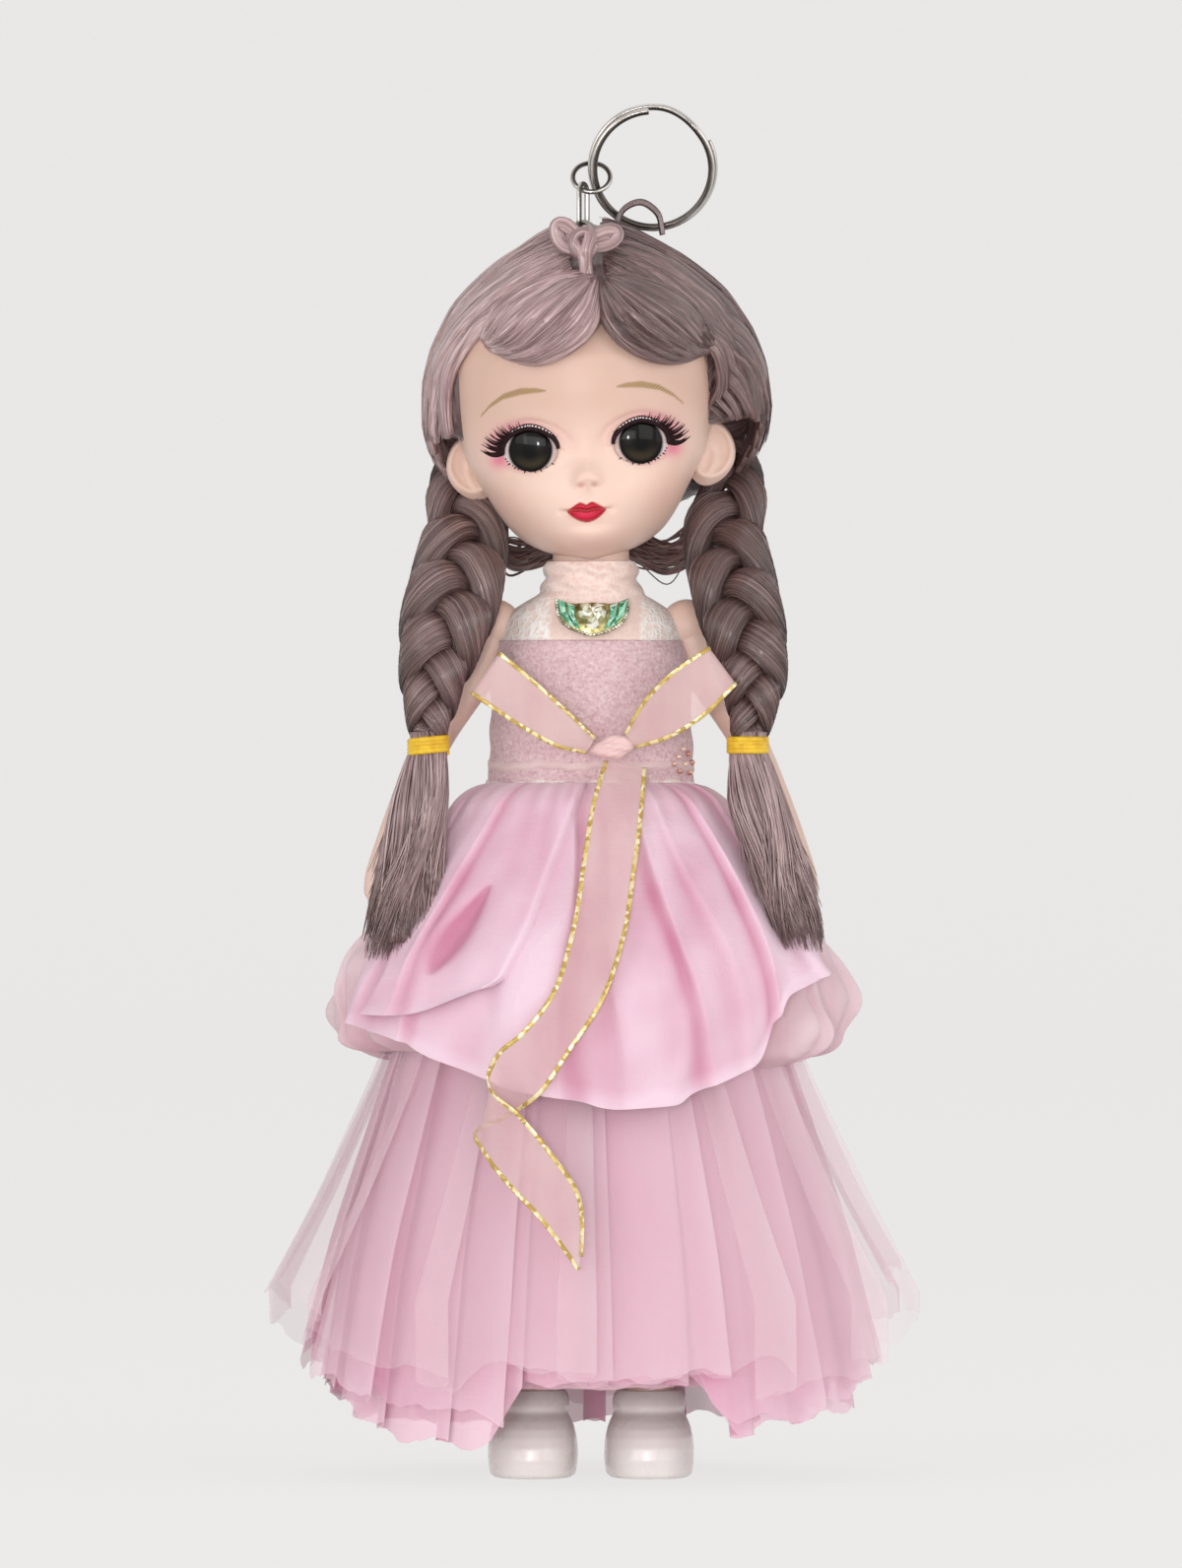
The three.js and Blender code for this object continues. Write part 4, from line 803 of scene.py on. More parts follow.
# painted highlight: pale dashes painted along a strip on the lash band stand in for glints
painted_glint = finish("painted_lash_glint", (236, 214, 216), 0.25, Coat_Weight=0.6)
along_strip = node(painted_glint, "ShaderNodeSeparateXYZ", n0=spread(painted_glint, "UV")).outputs[1]
glint_dashes = level(painted_glint, maths(painted_glint, "SINE", maths(painted_glint, "MULTIPLY", along_strip, 95.0)), -0.2, 0.2)
shade(painted_glint, Base_Color=ramp(painted_glint, glint_dashes, (0.4, (60, 26, 34)), (0.6, (240, 220, 222))))
for side in eye_places:
    blades = lash_grids(side)
    band = rim_tube(side, -0.14, 3.12, 0.5, 1.05, 0.1)
    strip = rim_tube(side, 0.6, 2.5, 0.13, 1.12, 0.42)
    dress(solid(f"lash_blades_{side}", from_head(blades)), lash_fibre, "lash_fibre", "head", f"lash_{side}")
    dress(solid(f"lash_band_{side}", from_head(band)), lash_fibre, "lash_fibre", "head")
    dress(solid(f"lash_strip_{side}", from_head(strip)), painted_glint, "lash_fibre", "head")


# %% [markdown]
# ## Hair cap
# Doll hair is rooted in rows and combed, so it reads as overlapping locks, each a bundle of parallel
# fibres. A base shell closes the scalp, in a dark tone that is painted shade where it shows between
# the locks. Over it lie locks swept along paths that run from the parting to the sides, every point
# pushed out to the hair's outline, and loose fibres cross the locks. One satin finish in a few tones
# has streaks that follow each lock's own UV map. The left hair gets a lit copy of it, and the right
# hair, the nape and the right plait get a shaded copy painted darker.

# %% Hair outline
hair_middle = 1.9
hair_centre = np.array([hair_middle, 0.0, 22.0])
hair_rows = [
    (6.5, 13, 9, 14), (8.5, 17, 12, 17.5), (12, 20.6, 17, 21), (16, 23, 20.6, 23), (21, 24, 22.2, 24.4),
    (27, 23.6, 22.2, 24.4), (32, 22, 21.2, 23.4), (37.5, 18.8, 18.8, 20.8), (40.2, 16, 16.2, 18),
    (43, 12.6, 13.2, 15), (45.2, 8.8, 9.8, 11.4), (46.9, 6.4, 6.6, 7.8), (48.3, 3, 3.2, 3.8), (48.9, 1, 1, 1),
]
hair_table = smooth_rows(hair_rows, 300, 0.7)


def in_head(points):
    """True inside the plain head, by its table of rounded outlines."""
    x, y, z = np.moveaxis(points, -1, 0)
    deep = depth_at(head_table, z, y < 0)
    power = look_up(head_table, z, 4)
    ring = (np.abs(x) / look_up(head_table, z, 1)) ** power + (np.abs(y) / deep) ** power
    return (ring < 1) & (z > head_table[0, 0]) & (z < head_table[-1, 0])


def in_hair(points):
    """True inside the hair's outline, whose lowest outline goes on straight down."""
    x, y, z = np.moveaxis(points, -1, 0)
    deep = depth_at(hair_table, z, y < 0)
    ring = ((x - hair_middle) / look_up(hair_table, z, 1)) ** 2 + (y / deep) ** 2
    return (ring < 1) & (z < hair_table[-1, 0])


def reach_of(direction, inside):
    """How far a shape goes from the middle of the head along each direction, by halving."""
    low, high = np.zeros(direction.shape[:-1]), np.full(direction.shape[:-1], 60.0)
    for _ in range(24):
        middle = (low + high) / 2
        within = inside(hair_centre + middle[..., None] * direction)
        low, high = np.where(within, middle, low), np.where(within, high, middle)
    return low


def hairline(points):
    """Millimetres from the edge of the face opening, a rounded arch: below 0 inside it."""
    x, y, z = np.moveaxis(points, -1, 0)
    ring = (np.abs((x - 0.6) / 17.2) ** 4 + np.abs((z - 17.5) / 18.8) ** 4) ** 0.25
    return (ring - 1) * 17 + np.maximum(0, y + 5) * 1.4


def hair_place(points, lift=0.0, low_edge=False):
    """Points pushed along their line from the middle of the head to the hair's outline plus a lift,
    and down to the head by a quarter circle over the last 6 mm before the hairline."""
    direction = unit(np.asarray(points, float) - hair_centre)
    head_reach = reach_of(direction, in_head)
    hair_reach = reach_of(direction, in_hair)
    on_head = hair_centre + head_reach[..., None] * direction
    near = np.clip(hairline(on_head) / 6, 0, 1)
    if low_edge:
        lowest = 19.3 - 11.5 * step(on_head[..., 1], 3, 10)
        near = np.minimum(near, np.clip((on_head[..., 2] - lowest) / 4, 0, 1))
    rise = np.sqrt(1 - (1 - near) ** 2)
    reach = head_reach + 0.15 + (hair_reach - head_reach - 0.15) * rise + lift * (0.3 + 0.7 * rise)
    return hair_centre + reach[..., None] * direction


hair_top = hair_place(np.array([hair_middle, 0, 60.0]))[2]
print("hair outline top:", round(float(hair_top), 1), "mm above the neck pivot")

# %% Hair finish


def hair_finish(name, shadow, mid, light, crest=False, tip_shade=False):
    """Satin fibres: streaks across the UV map in three colours and the same streaks as relief. With crest
    a plait gets painted shade where its strands pass under one another, and a tail can get painted
    shade low down."""
    made = finish(name, mid, 0.34, Coat_Weight=0.45, Coat_Roughness=0.2, Specular_IOR_Level=0.7)
    fibres = spread(made, "UV")
    coarse = noise(made, fibres, 1.0, 2.0, 0.5)
    fine = noise(made, fibres, 4.2, 2.0, 0.6)
    blend = level(made, weighed(made, coarse, 0.55, fine, 0.45), 0.33, 0.67)
    base = ramp(made, blend, (0.05, shadow), (0.5, mid), (0.95, light))
    tint = clouded(made, 180, 1, (0.3, (226, 212, 214)), (0.7, (255, 250, 248)))
    # painted shade: a plait is darkened where its strands pass under their neighbours
    if crest:
        crossing_shade = ramp(made, attribute(made, "crest", "Fac"), (0.1, (120, 108, 106)), (0.6, (232, 228, 226)),
                    (0.95, (255, 255, 255)))
        base = mixed(made, 1.0, base, crossing_shade, "MULTIPLY")
    # painted shade: the tails are darkened towards their lower ends
    if tip_shade:
        height = node(made, "ShaderNodeSeparateXYZ", n0=spread(made)).outputs[2]
        low = ramp(made, level(made, height, 0.072, 0.092), (0.0, (166, 148, 146)), (0.4, (226, 218, 216)),
                   (1.0, (255, 255, 255)))
        base = mixed(made, 1.0, base, low, "MULTIPLY")
    shade(made, Base_Color=mixed(made, 0.75, base, tint, "MULTIPLY"),
          Normal=bumped(made, blend, 0.6, 0.0002), Roughness=level(made, fine, 0.2, 0.8, 0.26, 0.42))
    return made


# painted light: the left and right hair, and the two plaits, are lit and shaded copies of one finish
hair_fibre = hair_finish("hair_fibre", (104, 80, 80), (178, 148, 148), (238, 216, 216))
shaded_side_hair = hair_finish("shaded_side_hair", (54, 36, 34), (104, 78, 76), (168, 138, 135))
plait_fibre = hair_finish("plait_fibre", (62, 44, 42), (124, 98, 95), (200, 174, 171), crest=True)
shaded_side_plait = hair_finish("shaded_side_plait", (50, 34, 32), (106, 81, 78), (176, 149, 146), crest=True)
tail_fibre = hair_finish("tail_fibre", (106, 86, 85), (170, 145, 145), (230, 210, 209), tip_shade=True)
hair_of = {"left": hair_fibre, "right": shaded_side_hair}
plait_of = {"left": plait_fibre, "right": shaded_side_plait}
# painted shade: a darker tone for the base shell, which shows between the locks; the hair arch uses it too
shade_tone_hair = hair_finish("shade_tone_hair", (52, 36, 36), (100, 79, 78), (154, 128, 127))


def locks(name, paths, wides, thicks, outward, columns=12, grooves=5, groove=0.1, twists=None, per_mm=0.45):
    """Many locks in one mesh. Each is swept along its path, and its UV map counts fibres across and
    stretches them along."""
    grids, shifts = [], []
    for i, path in enumerate(paths):
        out = outward(path) if callable(outward) else outward
        grids.append(swept(path, wides[i], thicks[i], out, columns, grooves, groove,
                           0 if twists is None else twists[i]))
        shifts.append((3.7 * i, 1.3 * i))
    mean_wide = float(np.mean([np.max(wide) for wide in wides]))
    length = float(np.mean([np.linalg.norm(np.diff(path, axis=0), axis=1).sum() for path in paths]))
    return solid(name, np.array(grids), size=(24 * mean_wide * per_mm, 0.06 * length), shifts=shifts)


def loose_fibres(name, paths, girth, ends, outward, material):
    """Single thin fibres over the locks."""
    thin = [girth * tapered(len(paths[0]), *ends)] * len(paths)
    made = locks(name, paths, thin, thin, outward, columns=4, grooves=0, per_mm=0.3)
    dress(made, material, "hair_fibre", "head")


def tapered(count, start, finish_at):
    """A lock's girth along its length: full in the middle and thinner at both ends."""
    share = np.linspace(0, 1, count)
    swell = start + share / 0.25 * (1 - start)
    narrow = finish_at + (1 - share) / 0.3 * (1 - finish_at)
    return np.clip(np.minimum(swell, narrow), 0, 1) ** 0.6


# %% Scalp shell and combed locks
comb = {
    "hairline": [(-1.0, -15, 41.5), (-7.0, -16.4, 39.4), (-13.4, -13, 35), (-17.2, -8.6, 28),
                 (-18.2, -6.0, 19.6)],
    "above_ear": [(-0.9, -9, 46), (-9.4, -9, 44), (-17.6, -7, 37), (-21.5, -3.5, 28), (-20.6, -0.4, 19.8)],
    "behind_ear": [(-0.8, 3, 48.5), (-10, 5, 46), (-18, 6, 37), (-21.5, 7.5, 25), (-18.6, 8.6, 10.5)],
    "nape": [(-0.6, 21.5, 13), (-5, 20.5, 12), (-10, 18.5, 11), (-14.5, 14.5, 10.5), (-17.4, 9, 10)],
}
combed = np.array(list(comb.values()))


def scalp_grid(rows=60, columns=110):
    """The base shell by azimuth from the front and elevation down to the hairline."""
    azimuth = np.linspace(-np.pi, np.pi, columns, endpoint=False)
    away = np.abs(azimuth)
    lowest = np.radians(42 - 56 * step(away, 0.95, 1.3) - 27 * step(away, 1.65, 2.1))
    elevation = np.pi / 2 - 0.01 + (lowest[None] - np.pi / 2 + 0.01) * np.linspace(0, 1, rows)[:, None]
    direction = np.stack([np.cos(elevation) * np.sin(azimuth), -np.cos(elevation) * np.cos(azimuth),
                          np.sin(elevation)], -1)
    return hair_place(hair_centre + direction, -0.9, True)


def comb_path(side, share, lift, rng, count=30):
    """A path from the parting, between two of the comb's guides, for a share from 0 to 3."""
    low = min(int(share), 2)
    points = combed[low] + (combed[low + 1] - combed[low]) * (share - low)
    points = points + rng.normal(0, 0.35 + 0.3 * max(lift, 0), points.shape)
    if side > 0:
        points = points * (-1, 1, 1) + (2 * hair_middle, 0, 0)
    return hair_place(curve(points, count), lift)


def from_centre(path):
    """The direction away from the middle of the head, for paths in the doll's frame."""
    return unit(path - from_head(hair_centre))


comb_shares = [*np.linspace(0.0, 1.0, 13), *np.linspace(1.07, 2.0, 13), *np.linspace(2.1, 3.0, 12)]
rng = np.random.default_rng(11)
scalp = solid("hair_scalp", from_head(scalp_grid()), size=(240, 3))
dress(scalp, shade_tone_hair, "hair_fibre", "head", "hair_cap")
for side, sign in signs.items():
    paths, wides, thicks, twists = [], [], [], []
    for share in comb_shares:
        wide = 1.45 + 0.5 * rng.random() + 0.6 * (share > 1)
        paths.append(from_head(comb_path(sign, share, -0.8 + 0.5 * rng.random(), rng)))
        wides.append(wide * tapered(30, 0.45, 0.45))
        thicks.append((0.8 + 0.4 * rng.random()) * tapered(30, 0.5, 0.45))
        twists.append(0.35 * rng.standard_normal() if share < 1 else 0.0)
    for i in range(90):
        share = 2.9 * rng.random()
        paths.append(from_head(comb_path(sign, share, -0.1 + 0.45 * rng.random(), rng)))
        wides.append((0.3 + 0.6 * rng.random()) * tapered(30, 0.3, 0.1))
        thicks.append(0.3 * tapered(30, 0.3, 0.1))
        twists.append(0.4 * rng.standard_normal())
    made = locks(f"hair_locks_{side}", paths, wides, thicks, from_centre, columns=14, twists=twists)
    dress(made, hair_of[side], "hair_fibre", "head")
    paths = [comb_path(sign, 2.9 * rng.random(), 0.15 + 0.4 * rng.random(), rng, 18) for _ in range(240)]
    loose_fibres(f"hair_fibres_{side}", from_head(paths), 0.07, (0.3, 0.1), from_centre, hair_of[side])

# %% [markdown]
# ## Fringe, top knot and hair loop
# The fringe is two rolls of hair that sweep from the parting to the sides of the forehead and bend
# in at their ends. Each roll has broad locks below, fine ones above and loose fibres over them.
# The knot on top is a small bow of hair, and beside it stands a little arch of hair.

# %% Fringe
fringe_guides = {
    "left": [[(2.8, 39.6), (2.3, 36.4), (1.2, 33.2), (-1.6, 30.8), (-6.0, 29.1), (-10.4, 29.6)],
             [(2.4, 39.9), (0.2, 38.4), (-3.0, 36.0), (-6.2, 33.2), (-9.3, 30.9), (-12.2, 30.4)],
             [(2.0, 40.2), (-2.0, 39.8), (-6.0, 38.6), (-9.4, 36.8), (-12.0, 34.4), (-13.4, 31.8)]],
    "right": [[(3.6, 39.4), (3.8, 36.4), (4.8, 33.0), (7.6, 30.0), (12.4, 28.2), (17.0, 28.4)],
              [(4.2, 39.6), (7.0, 37.6), (10.4, 35.2), (13.6, 32.6), (16.4, 29.9), (18.2, 28.8)],
              [(4.6, 40.0), (8.4, 39.2), (12.2, 38.0), (15.6, 35.8), (18.0, 32.8), (19.0, 29.8)]],
}


def fringe_path(side, share, lift, count=26, until=1.0):
    """A lock that sweeps from the parting to the outer corner of the forehead, between two of three
    guides: share 0 is the lower edge and share 1 the outer one. The roll is fullest between them,
    and each lock bends in at its end."""
    guides = np.array(fringe_guides[side])
    low = min(int(2 * share), 1)
    points = guides[low] + (guides[low + 1] - guides[low]) * (2 * share - low)
    line = curve(np.column_stack([points[:, 0], 0 * points[:, 0], points[:, 1]]), 80)
    s = np.linspace(0, until, count)
    x, z = (np.interp(s, np.linspace(0, 1, 80), line[:, k]) for k in (0, 2))
    full = np.sin(np.pi * (0.14 + 0.72 * share)) ** 0.7
    turned = np.clip((s - 0.84) / 0.16, 0, 1)
    out = 0.5 + lift + (1.4 + 2.0 * np.sin(np.pi * np.clip(s, 0, 1)) ** 0.8) * full + 1.4 * (1 - s) ** 2
    y = -head_depth(np.clip(x, -16.5, 17), z) - out * (1 - 0.7 * turned**2)
    return np.stack([x, y, z + 0.5 * turned**2], -1)


for side in signs:
    paths, wides, thicks = [], [], []
    for share in np.linspace(0, 1, 11):
        paths.append(from_head(fringe_path(side, share, -0.7)))
        wides.append(1.5 * tapered(26, 0.55, 0.2))
        thicks.append(0.9 * tapered(26, 0.6, 0.25))
    for share in np.linspace(0.0, 1, 74):
        share = np.clip(share + rng.normal(0, 0.02), 0, 1)
        path = fringe_path(side, share, 0.05 + 0.4 * rng.random(), until=0.84 + 0.22 * rng.random())
        path[:, 2] += rng.normal(0, 0.45) * np.sin(np.linspace(0, 2.4, 26))
        paths.append(from_head(path))
        wides.append((0.3 + 0.55 * rng.random()) * tapered(26, 0.4, 0.08))
        thicks.append((0.25 + 0.25 * rng.random()) * tapered(26, 0.5, 0.1))
    made = locks(f"fringe_{side}", paths, wides, thicks, (0, -1, 0.25), columns=10)
    dress(made, hair_of[side], "hair_fibre", "head", f"bang_{side}")
    paths = [fringe_path(side, rng.random(), 0.6 + 0.35 * rng.random(), 16) for _ in range(150)]
    loose_fibres(f"fringe_fibres_{side}", from_head(paths), 0.06, (0.4, 0.2), (0, -1, 0), hair_of[side])

# %% Top knot and loop
knot_place = np.array([1.4, -13.2, 44.6])


def knot_loop(sign, wide, tall, lean, count=40):
    """A teardrop loop beside the knot: a closed turn whose width grows away from the knot."""
    turn = np.linspace(0.06, 2 * np.pi - 0.06, count)
    x = sign * wide * (1 - np.cos(turn)) / 2
    z = tall * np.sin(turn) * np.sin(turn / 2) ** 0.7 + lean * (1 - np.cos(turn)) / 2
    y = -0.9 * np.sin(turn / 2) + 1.5 * (1 - np.cos(turn)) / 2
    return knot_place + np.stack([x, y, z], -1)


knot_paths = [knot_loop(*sizes) for sizes in (
    (-1, 3.7, 1.9, 2.1), (1, 4.7, 1.2, 1.2), (-1, 3.1, 1.3, 1.9), (1, 4.0, 0.7, 0.9))]
turn = np.linspace(0, 2 * np.pi, 40)
wrap = knot_place + np.stack([1.5 * np.cos(turn), -0.7 - 0.9 * np.sin(turn / 2) ** 2 + 0 * turn,
                              1.7 * np.sin(turn)], -1)
tie = knot_place + curve([(0.6, 0.2, 2.4), (0.9, -1.5, 1.0), (0.3, -2.1, -0.9), (0.2, -1.4, -3.0),
                          (0.5, -1.6, -5.2)], 40)
tie_left = knot_place + curve([(-1.9, -0.3, 1.4), (-1.2, -1.7, 0.4), (-0.3, -1.8, -1.6),
                               (-0.2, -1.6, -5.0)], 40)
knot_paths += [wrap, tie, tie_left]
knot_wides, knot_thicks = ([half * tapered(40, 0.75, 0.75) for half in halves] for halves in (
    (1.1, 1.0, 0.8, 0.8, 0.7, 0.9, 0.7), (0.55, 0.5, 0.45, 0.45, 0.7, 0.6, 0.6)))
knot = locks("top_bow", from_head(knot_paths), knot_wides, knot_thicks, (0, -1, 0.3), columns=14)
dress(knot, hair_fibre, "hair_fibre", "head", "top_knot")

arch = curve([(3.4, -0.9, 173.4), (4.4, -1.0, 176.4), (6.9, -1.1, 177.5), (9.3, -1.0, 175.9),
              (10.0, -0.9, 173.0)], 60)
arch_pair = [arch, arch + (0.1, 0.35, 0.3)]
hair_arch = locks("hair_arch", arch_pair, [0.42, 0.3], [0.4, 0.3], (0, 1, 0), columns=14)
dress(hair_arch, shade_tone_hair, "hair_fibre", "head", "hair_loop")

# %% Nape locks
for side, sign in signs.items():
    paths, girths = [], []
    for share in np.linspace(0, 1, 34):
        spots = [(2, 12, 134 - 3 * share), (6.5, 9.5, 131.5 - 4 * share), (10.5, 6, 130.5 - 4.5 * share),
                 (14.0, 3, 132 - 4 * share), (17, 4, 135)]
        points = (np.array(spots) + rng.normal(0, 0.6, (5, 3))) * (sign, 1, 1)
        paths.append(curve(points, 30))
        girths.append((0.1 + 0.26 * rng.random()) * tapered(30, 0.5, 0.2))
    thin = [0.5 * girth for girth in girths]
    made = locks(f"nape_locks_{side}", paths, girths, thin, (0, -1, 0), columns=10)
    dress(made, shaded_side_hair, "hair_fibre", None)
    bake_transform(made)

# %% [markdown]
# ## Key ring hardware
# All of it is steel wire, bent and joined: a screw eye in the top of the head with its washer and
# nut, an oval link, a jump ring and a split ring of two turns. Each is one wire swept along its own
# centre line, so the rings stay round. A stripe painted round the wire gives its light and dark sides.

# %% Wire and rings
steel = finish("ring_steel", (150, 147, 144), 0.2, Metallic=0.9)
stripe_and_gloss_noise = noise(steel, spread(steel), 500, 2)
# painted light and shade: a stripe round the wire, broken up by noise, gives its light and dark sides
stripe = nudged(steel, attribute(steel, "stripe", "Fac"), stripe_and_gloss_noise, 0.5, 0.5)
shade(steel, Base_Color=ramp(steel, stripe, (0.15, (72, 67, 63)), (0.5, (140, 134, 129)),
                             (0.85, (200, 196, 191))),
      Roughness=level(steel, stripe_and_gloss_noise, 0.2, 0.8, 0.16, 0.3))


def wire(name, grid, body, nodes, closed=False):
    """A steel wire from its rings of points, with its painted stripe of light and shade."""
    made = surface(name, grid, around=True, ends=not closed, loop=closed)
    angle = np.arange(grid.shape[1]) * 2 * np.pi / grid.shape[1]
    stripes = np.tile(0.5 + 0.5 * np.cos(2 * angle + 0.9), grid.shape[0])
    paint(made, "stripe", np.concatenate([stripes, [] if closed else [0.5, 0.5]]))
    dress(made, steel, "ring_steel", body, *nodes)


def ring_of(centres, outwards, side, wide, thick, columns=14):
    """Rings of points round a closed or open centre line, from the outward direction at each point
    and one direction that is square to the line's plane."""
    angle = full_turn(columns)
    return (centres[:, None] + wide * np.cos(angle)[None, :, None] * outwards[:, None]
            + thick * np.sin(angle)[None, :, None] * np.asarray(side, float))


def turned_about_x(points, angle):
    """Points turned about the X axis."""
    x, y, z = np.moveaxis(points, -1, 0)
    c, s = math.cos(angle), math.sin(angle)
    return np.stack([x, c * y - s * z, s * y + c * z], -1)


link_foot = np.array([-1.1, 0, 173.7])
turn = full_turn(96)
round_out = np.stack([np.cos(turn), 0 * turn, np.sin(turn)], -1)
eye_centre = link_foot + (0, 0, -0.4)
eye_loop = eye_centre + ring_of(1.5 * round_out, round_out, (0, 1, 0), 0.42, 0.42)
wire("screw_eye_wire", eye_loop, "head", [], True)
shank_path = eye_centre + np.stack([np.zeros(90), np.zeros(90), np.linspace(-1.5, -9.4, 90)], -1)
thread = 0.62 + 0.13 * (np.arange(90) % 6 < 3)
wire("screw_shank", swept(shank_path, thread, thread, (0, 1, 0), 14), "head", ["screw_eye"])
for name, node_name, sides, wide, low, high in (("washer_disc", "screw_washer", 28, 3.0, -4.6, -4.1),
                                                ("nut_block", "screw_nut", 6, 2.0, -6.3, -4.8)):
    angle = full_turn(sides)
    rows = [eye_centre + np.stack([r * np.cos(angle), r * np.sin(angle), z + 0 * angle], -1)
            for z, r in ((low, 0.8), (low, wide), (high, wide), (high, 0.8))]
    wire(name, np.array(rows), "head", [node_name])
link_turn = math.radians(65)
flat, up = np.array([math.cos(link_turn), math.sin(link_turn), 0]), np.array([0, 0, 1.0])
out = flat * np.cos(turn)[:, None] + up * np.sin(turn)[:, None]
centres = link_foot + up * 3.25 + out * 1.3 + up * (1.95 * np.sign(np.sin(turn).round(6)))[:, None]
wire("link_wire", ring_of(centres, out, np.cross(flat, up), 0.36, 0.36), "link", ["chain_link"], True)
jump_flat = ring_of(2.62 * round_out, round_out, (0, 1, 0), 0.36, 0.36)
jump_grid = turned_about_x(jump_flat, math.radians(-37)) + (0.07, 1.2, 181.14)
wire("jump_wire", jump_grid, "jump", ["jump_ring"], True)
angle = np.linspace(math.radians(34), 4 * np.pi - math.radians(34), 360)
climb = step(angle, 2 * np.pi - math.radians(26), 2 * np.pi + math.radians(26)) - 0.5
ring_out = np.stack([np.cos(angle + math.radians(60)), 0 * angle, np.sin(angle + math.radians(60))], -1)
centres = (8.4 + 0.4 * climb)[:, None] * ring_out + np.stack([0 * angle, 1.14 * climb, 0 * angle], -1)
split_flat = ring_of(centres, ring_out, (0, 1, 0), 0.48, 0.38)
split_grid = turned_about_x(split_flat, math.radians(14)) + (8.62, 0.9, 182.4)
wire("split_wire", split_grid, "ring", ["split_ring"])

# %% [markdown]
# ## Plaits and tails
# A three-strand plait is one curve used three times. Across the plait a strand swings as a sine,
# and in depth it swings twice as fast, so it passes over one neighbour and under the other. The
# strand's flat side turns with it. Below each elastic a dark core carries hundreds of fibres that
# spread and end at different lengths.

# %% Plaits
plait_places = {
    "left": [(-14.2, 7.4, 148.6, 1.6), (-18.4, 9.5, 139.5, 4.0), (-17.4, 3.8, 132.6, 5.5),
             (-18.7, -5.5, 124.4, 6.5),
             (-20.1, -10.2, 119, 6.3), (-21.6, -12.2, 113, 5.0), (-22.3, -13.0, 107.5, 3.7),
             (-22.5, -13.3, 103.2, 2.5)],
    "right": [(16.2, 7.4, 148.6, 1.6), (20.0, 9.0, 140, 4.0), (18.6, 2.6, 131.6, 5.5),
              (20.0, -6.4, 123.4, 6.0),
              (21.4, -11.0, 117.5, 5.6), (22.3, -12.4, 112.3, 4.9), (22.4, -13.2, 107.5, 3.6),
              (21.8, -13.3, 103.2, 2.5)],
}
plait_turns = 2.0
plait_phase = -0.09


def plait_strand(side, order, count=150):
    """One strand: x = (W - t) sin a across, depth b sin 2a to the front, with a growing along the
    plait by the number of turns and a third of a turn from strand to strand."""
    rows = curve(plait_places[side], count)
    middle, girth = rows[:, :3], rows[:, 3]
    along = unit(np.gradient(middle, axis=0))
    across = unit(np.cross(along, np.array([0, -1.0, 0])) * (-1, -1, -1))
    front = unit(np.cross(across, along))
    front = front * np.sign(-front[:, 1:2])
    turns = plait_turns * np.linspace(0, 1, count) ** 1.12
    a = 2 * np.pi * (turns + order / 3 + plait_phase)
    flip = -signs[side]
    thick = 0.34 * girth
    path = middle + across * ((girth - thick) * np.sin(a) * flip)[:, None]
    path = path + front * (0.46 * girth * np.sin(2 * a))[:, None]
    axis = np.radians(78) * np.cos(a)
    out = across * (np.cos(axis) * flip)[:, None] + front * np.sin(axis)[:, None]
    return path, 0.6 * girth, thick, out, 0.5 + 0.5 * np.sin(2 * a)


def shifts_of(count, across, along):
    """A UV shift for each of many fibres, so that no two look alike."""
    return [(across * i, along * i) for i in range(count)]


def crested(values, columns):
    """One value for each row of several tubes, as a value for each point and each end's hub."""
    return np.concatenate([np.repeat(values, columns), values[:, 0], values[:, -1]])


for side in signs:
    grids, fibres, crests, lines = [], [], [], []
    for order in range(3):
        path, wide, thick, out, crest = plait_strand(side, order)
        crests.append(crest)
        grids.append(swept(path, wide, thick, out, columns=34, grooves=12, groove=0.035))
        along = unit(np.gradient(path, axis=0))
        flat = unit(np.cross(along, out))
        deep = np.cross(flat, along)
        for place in np.linspace(0, 2 * np.pi, 34, endpoint=False):
            wave = place + 0.12 * np.sin(np.linspace(0, 9, len(path)) + place * 5)
            line = path + flat * (1.03 * wide * np.cos(wave))[:, None]
            line = line + deep * (1.05 * thick * np.sin(wave))[:, None]
            fibres.append(swept(line[::2], 0.07, 0.07, out[::2], columns=4))
            lines.append(crest[::2])
    plait = solid(f"plait_{side}", np.array(grids), size=(70, 4), shifts=shifts_of(3, 9.3, 2.1))
    paint(plait, "crest", crested(np.array(crests), 34))
    dress(plait, plait_of[side], "hair_fibre", None, f"braid_{side}")
    strands = solid(f"plait_fibres_{side}", np.array(fibres), size=(0.7, 3),
                    shifts=shifts_of(len(fibres), 1.7, 0.4))
    paint(strands, "crest", crested(np.array(lines), 4))
    dress(strands, plait_of[side], "hair_fibre", None)
    for piece in (plait, strands):
        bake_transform(piece)

# %% Tails
tail_places = {
    "left": [(-22.5, -13.4, 103.6, 2.4, 2.1), (-22.5, -13.4, 101.6, 2.25, 2.0),
             (-22.9, -13.8, 98.8, 2.9, 2.2),
             (-23.7, -14.8, 93.4, 4.2, 2.6), (-24.8, -16.4, 86.0, 5.2, 2.9), (-25.9, -17.8, 79.5, 5.2, 2.7),
             (-26.7, -18.7, 74.4, 4.6, 1.8)],
    "right": [(21.9, -13.4, 103.6, 2.4, 2.1), (21.7, -13.4, 101.6, 2.25, 2.0), (22.1, -13.8, 98.8, 2.9, 2.2),
              (23.1, -14.8, 93.4, 4.3, 2.6), (25.4, -16.6, 86.5, 4.9, 2.8), (27.4, -18.0, 80.4, 4.2, 2.4),
              (29.0, -18.9, 75.6, 2.8, 1.5)],
}


tail_count = 700


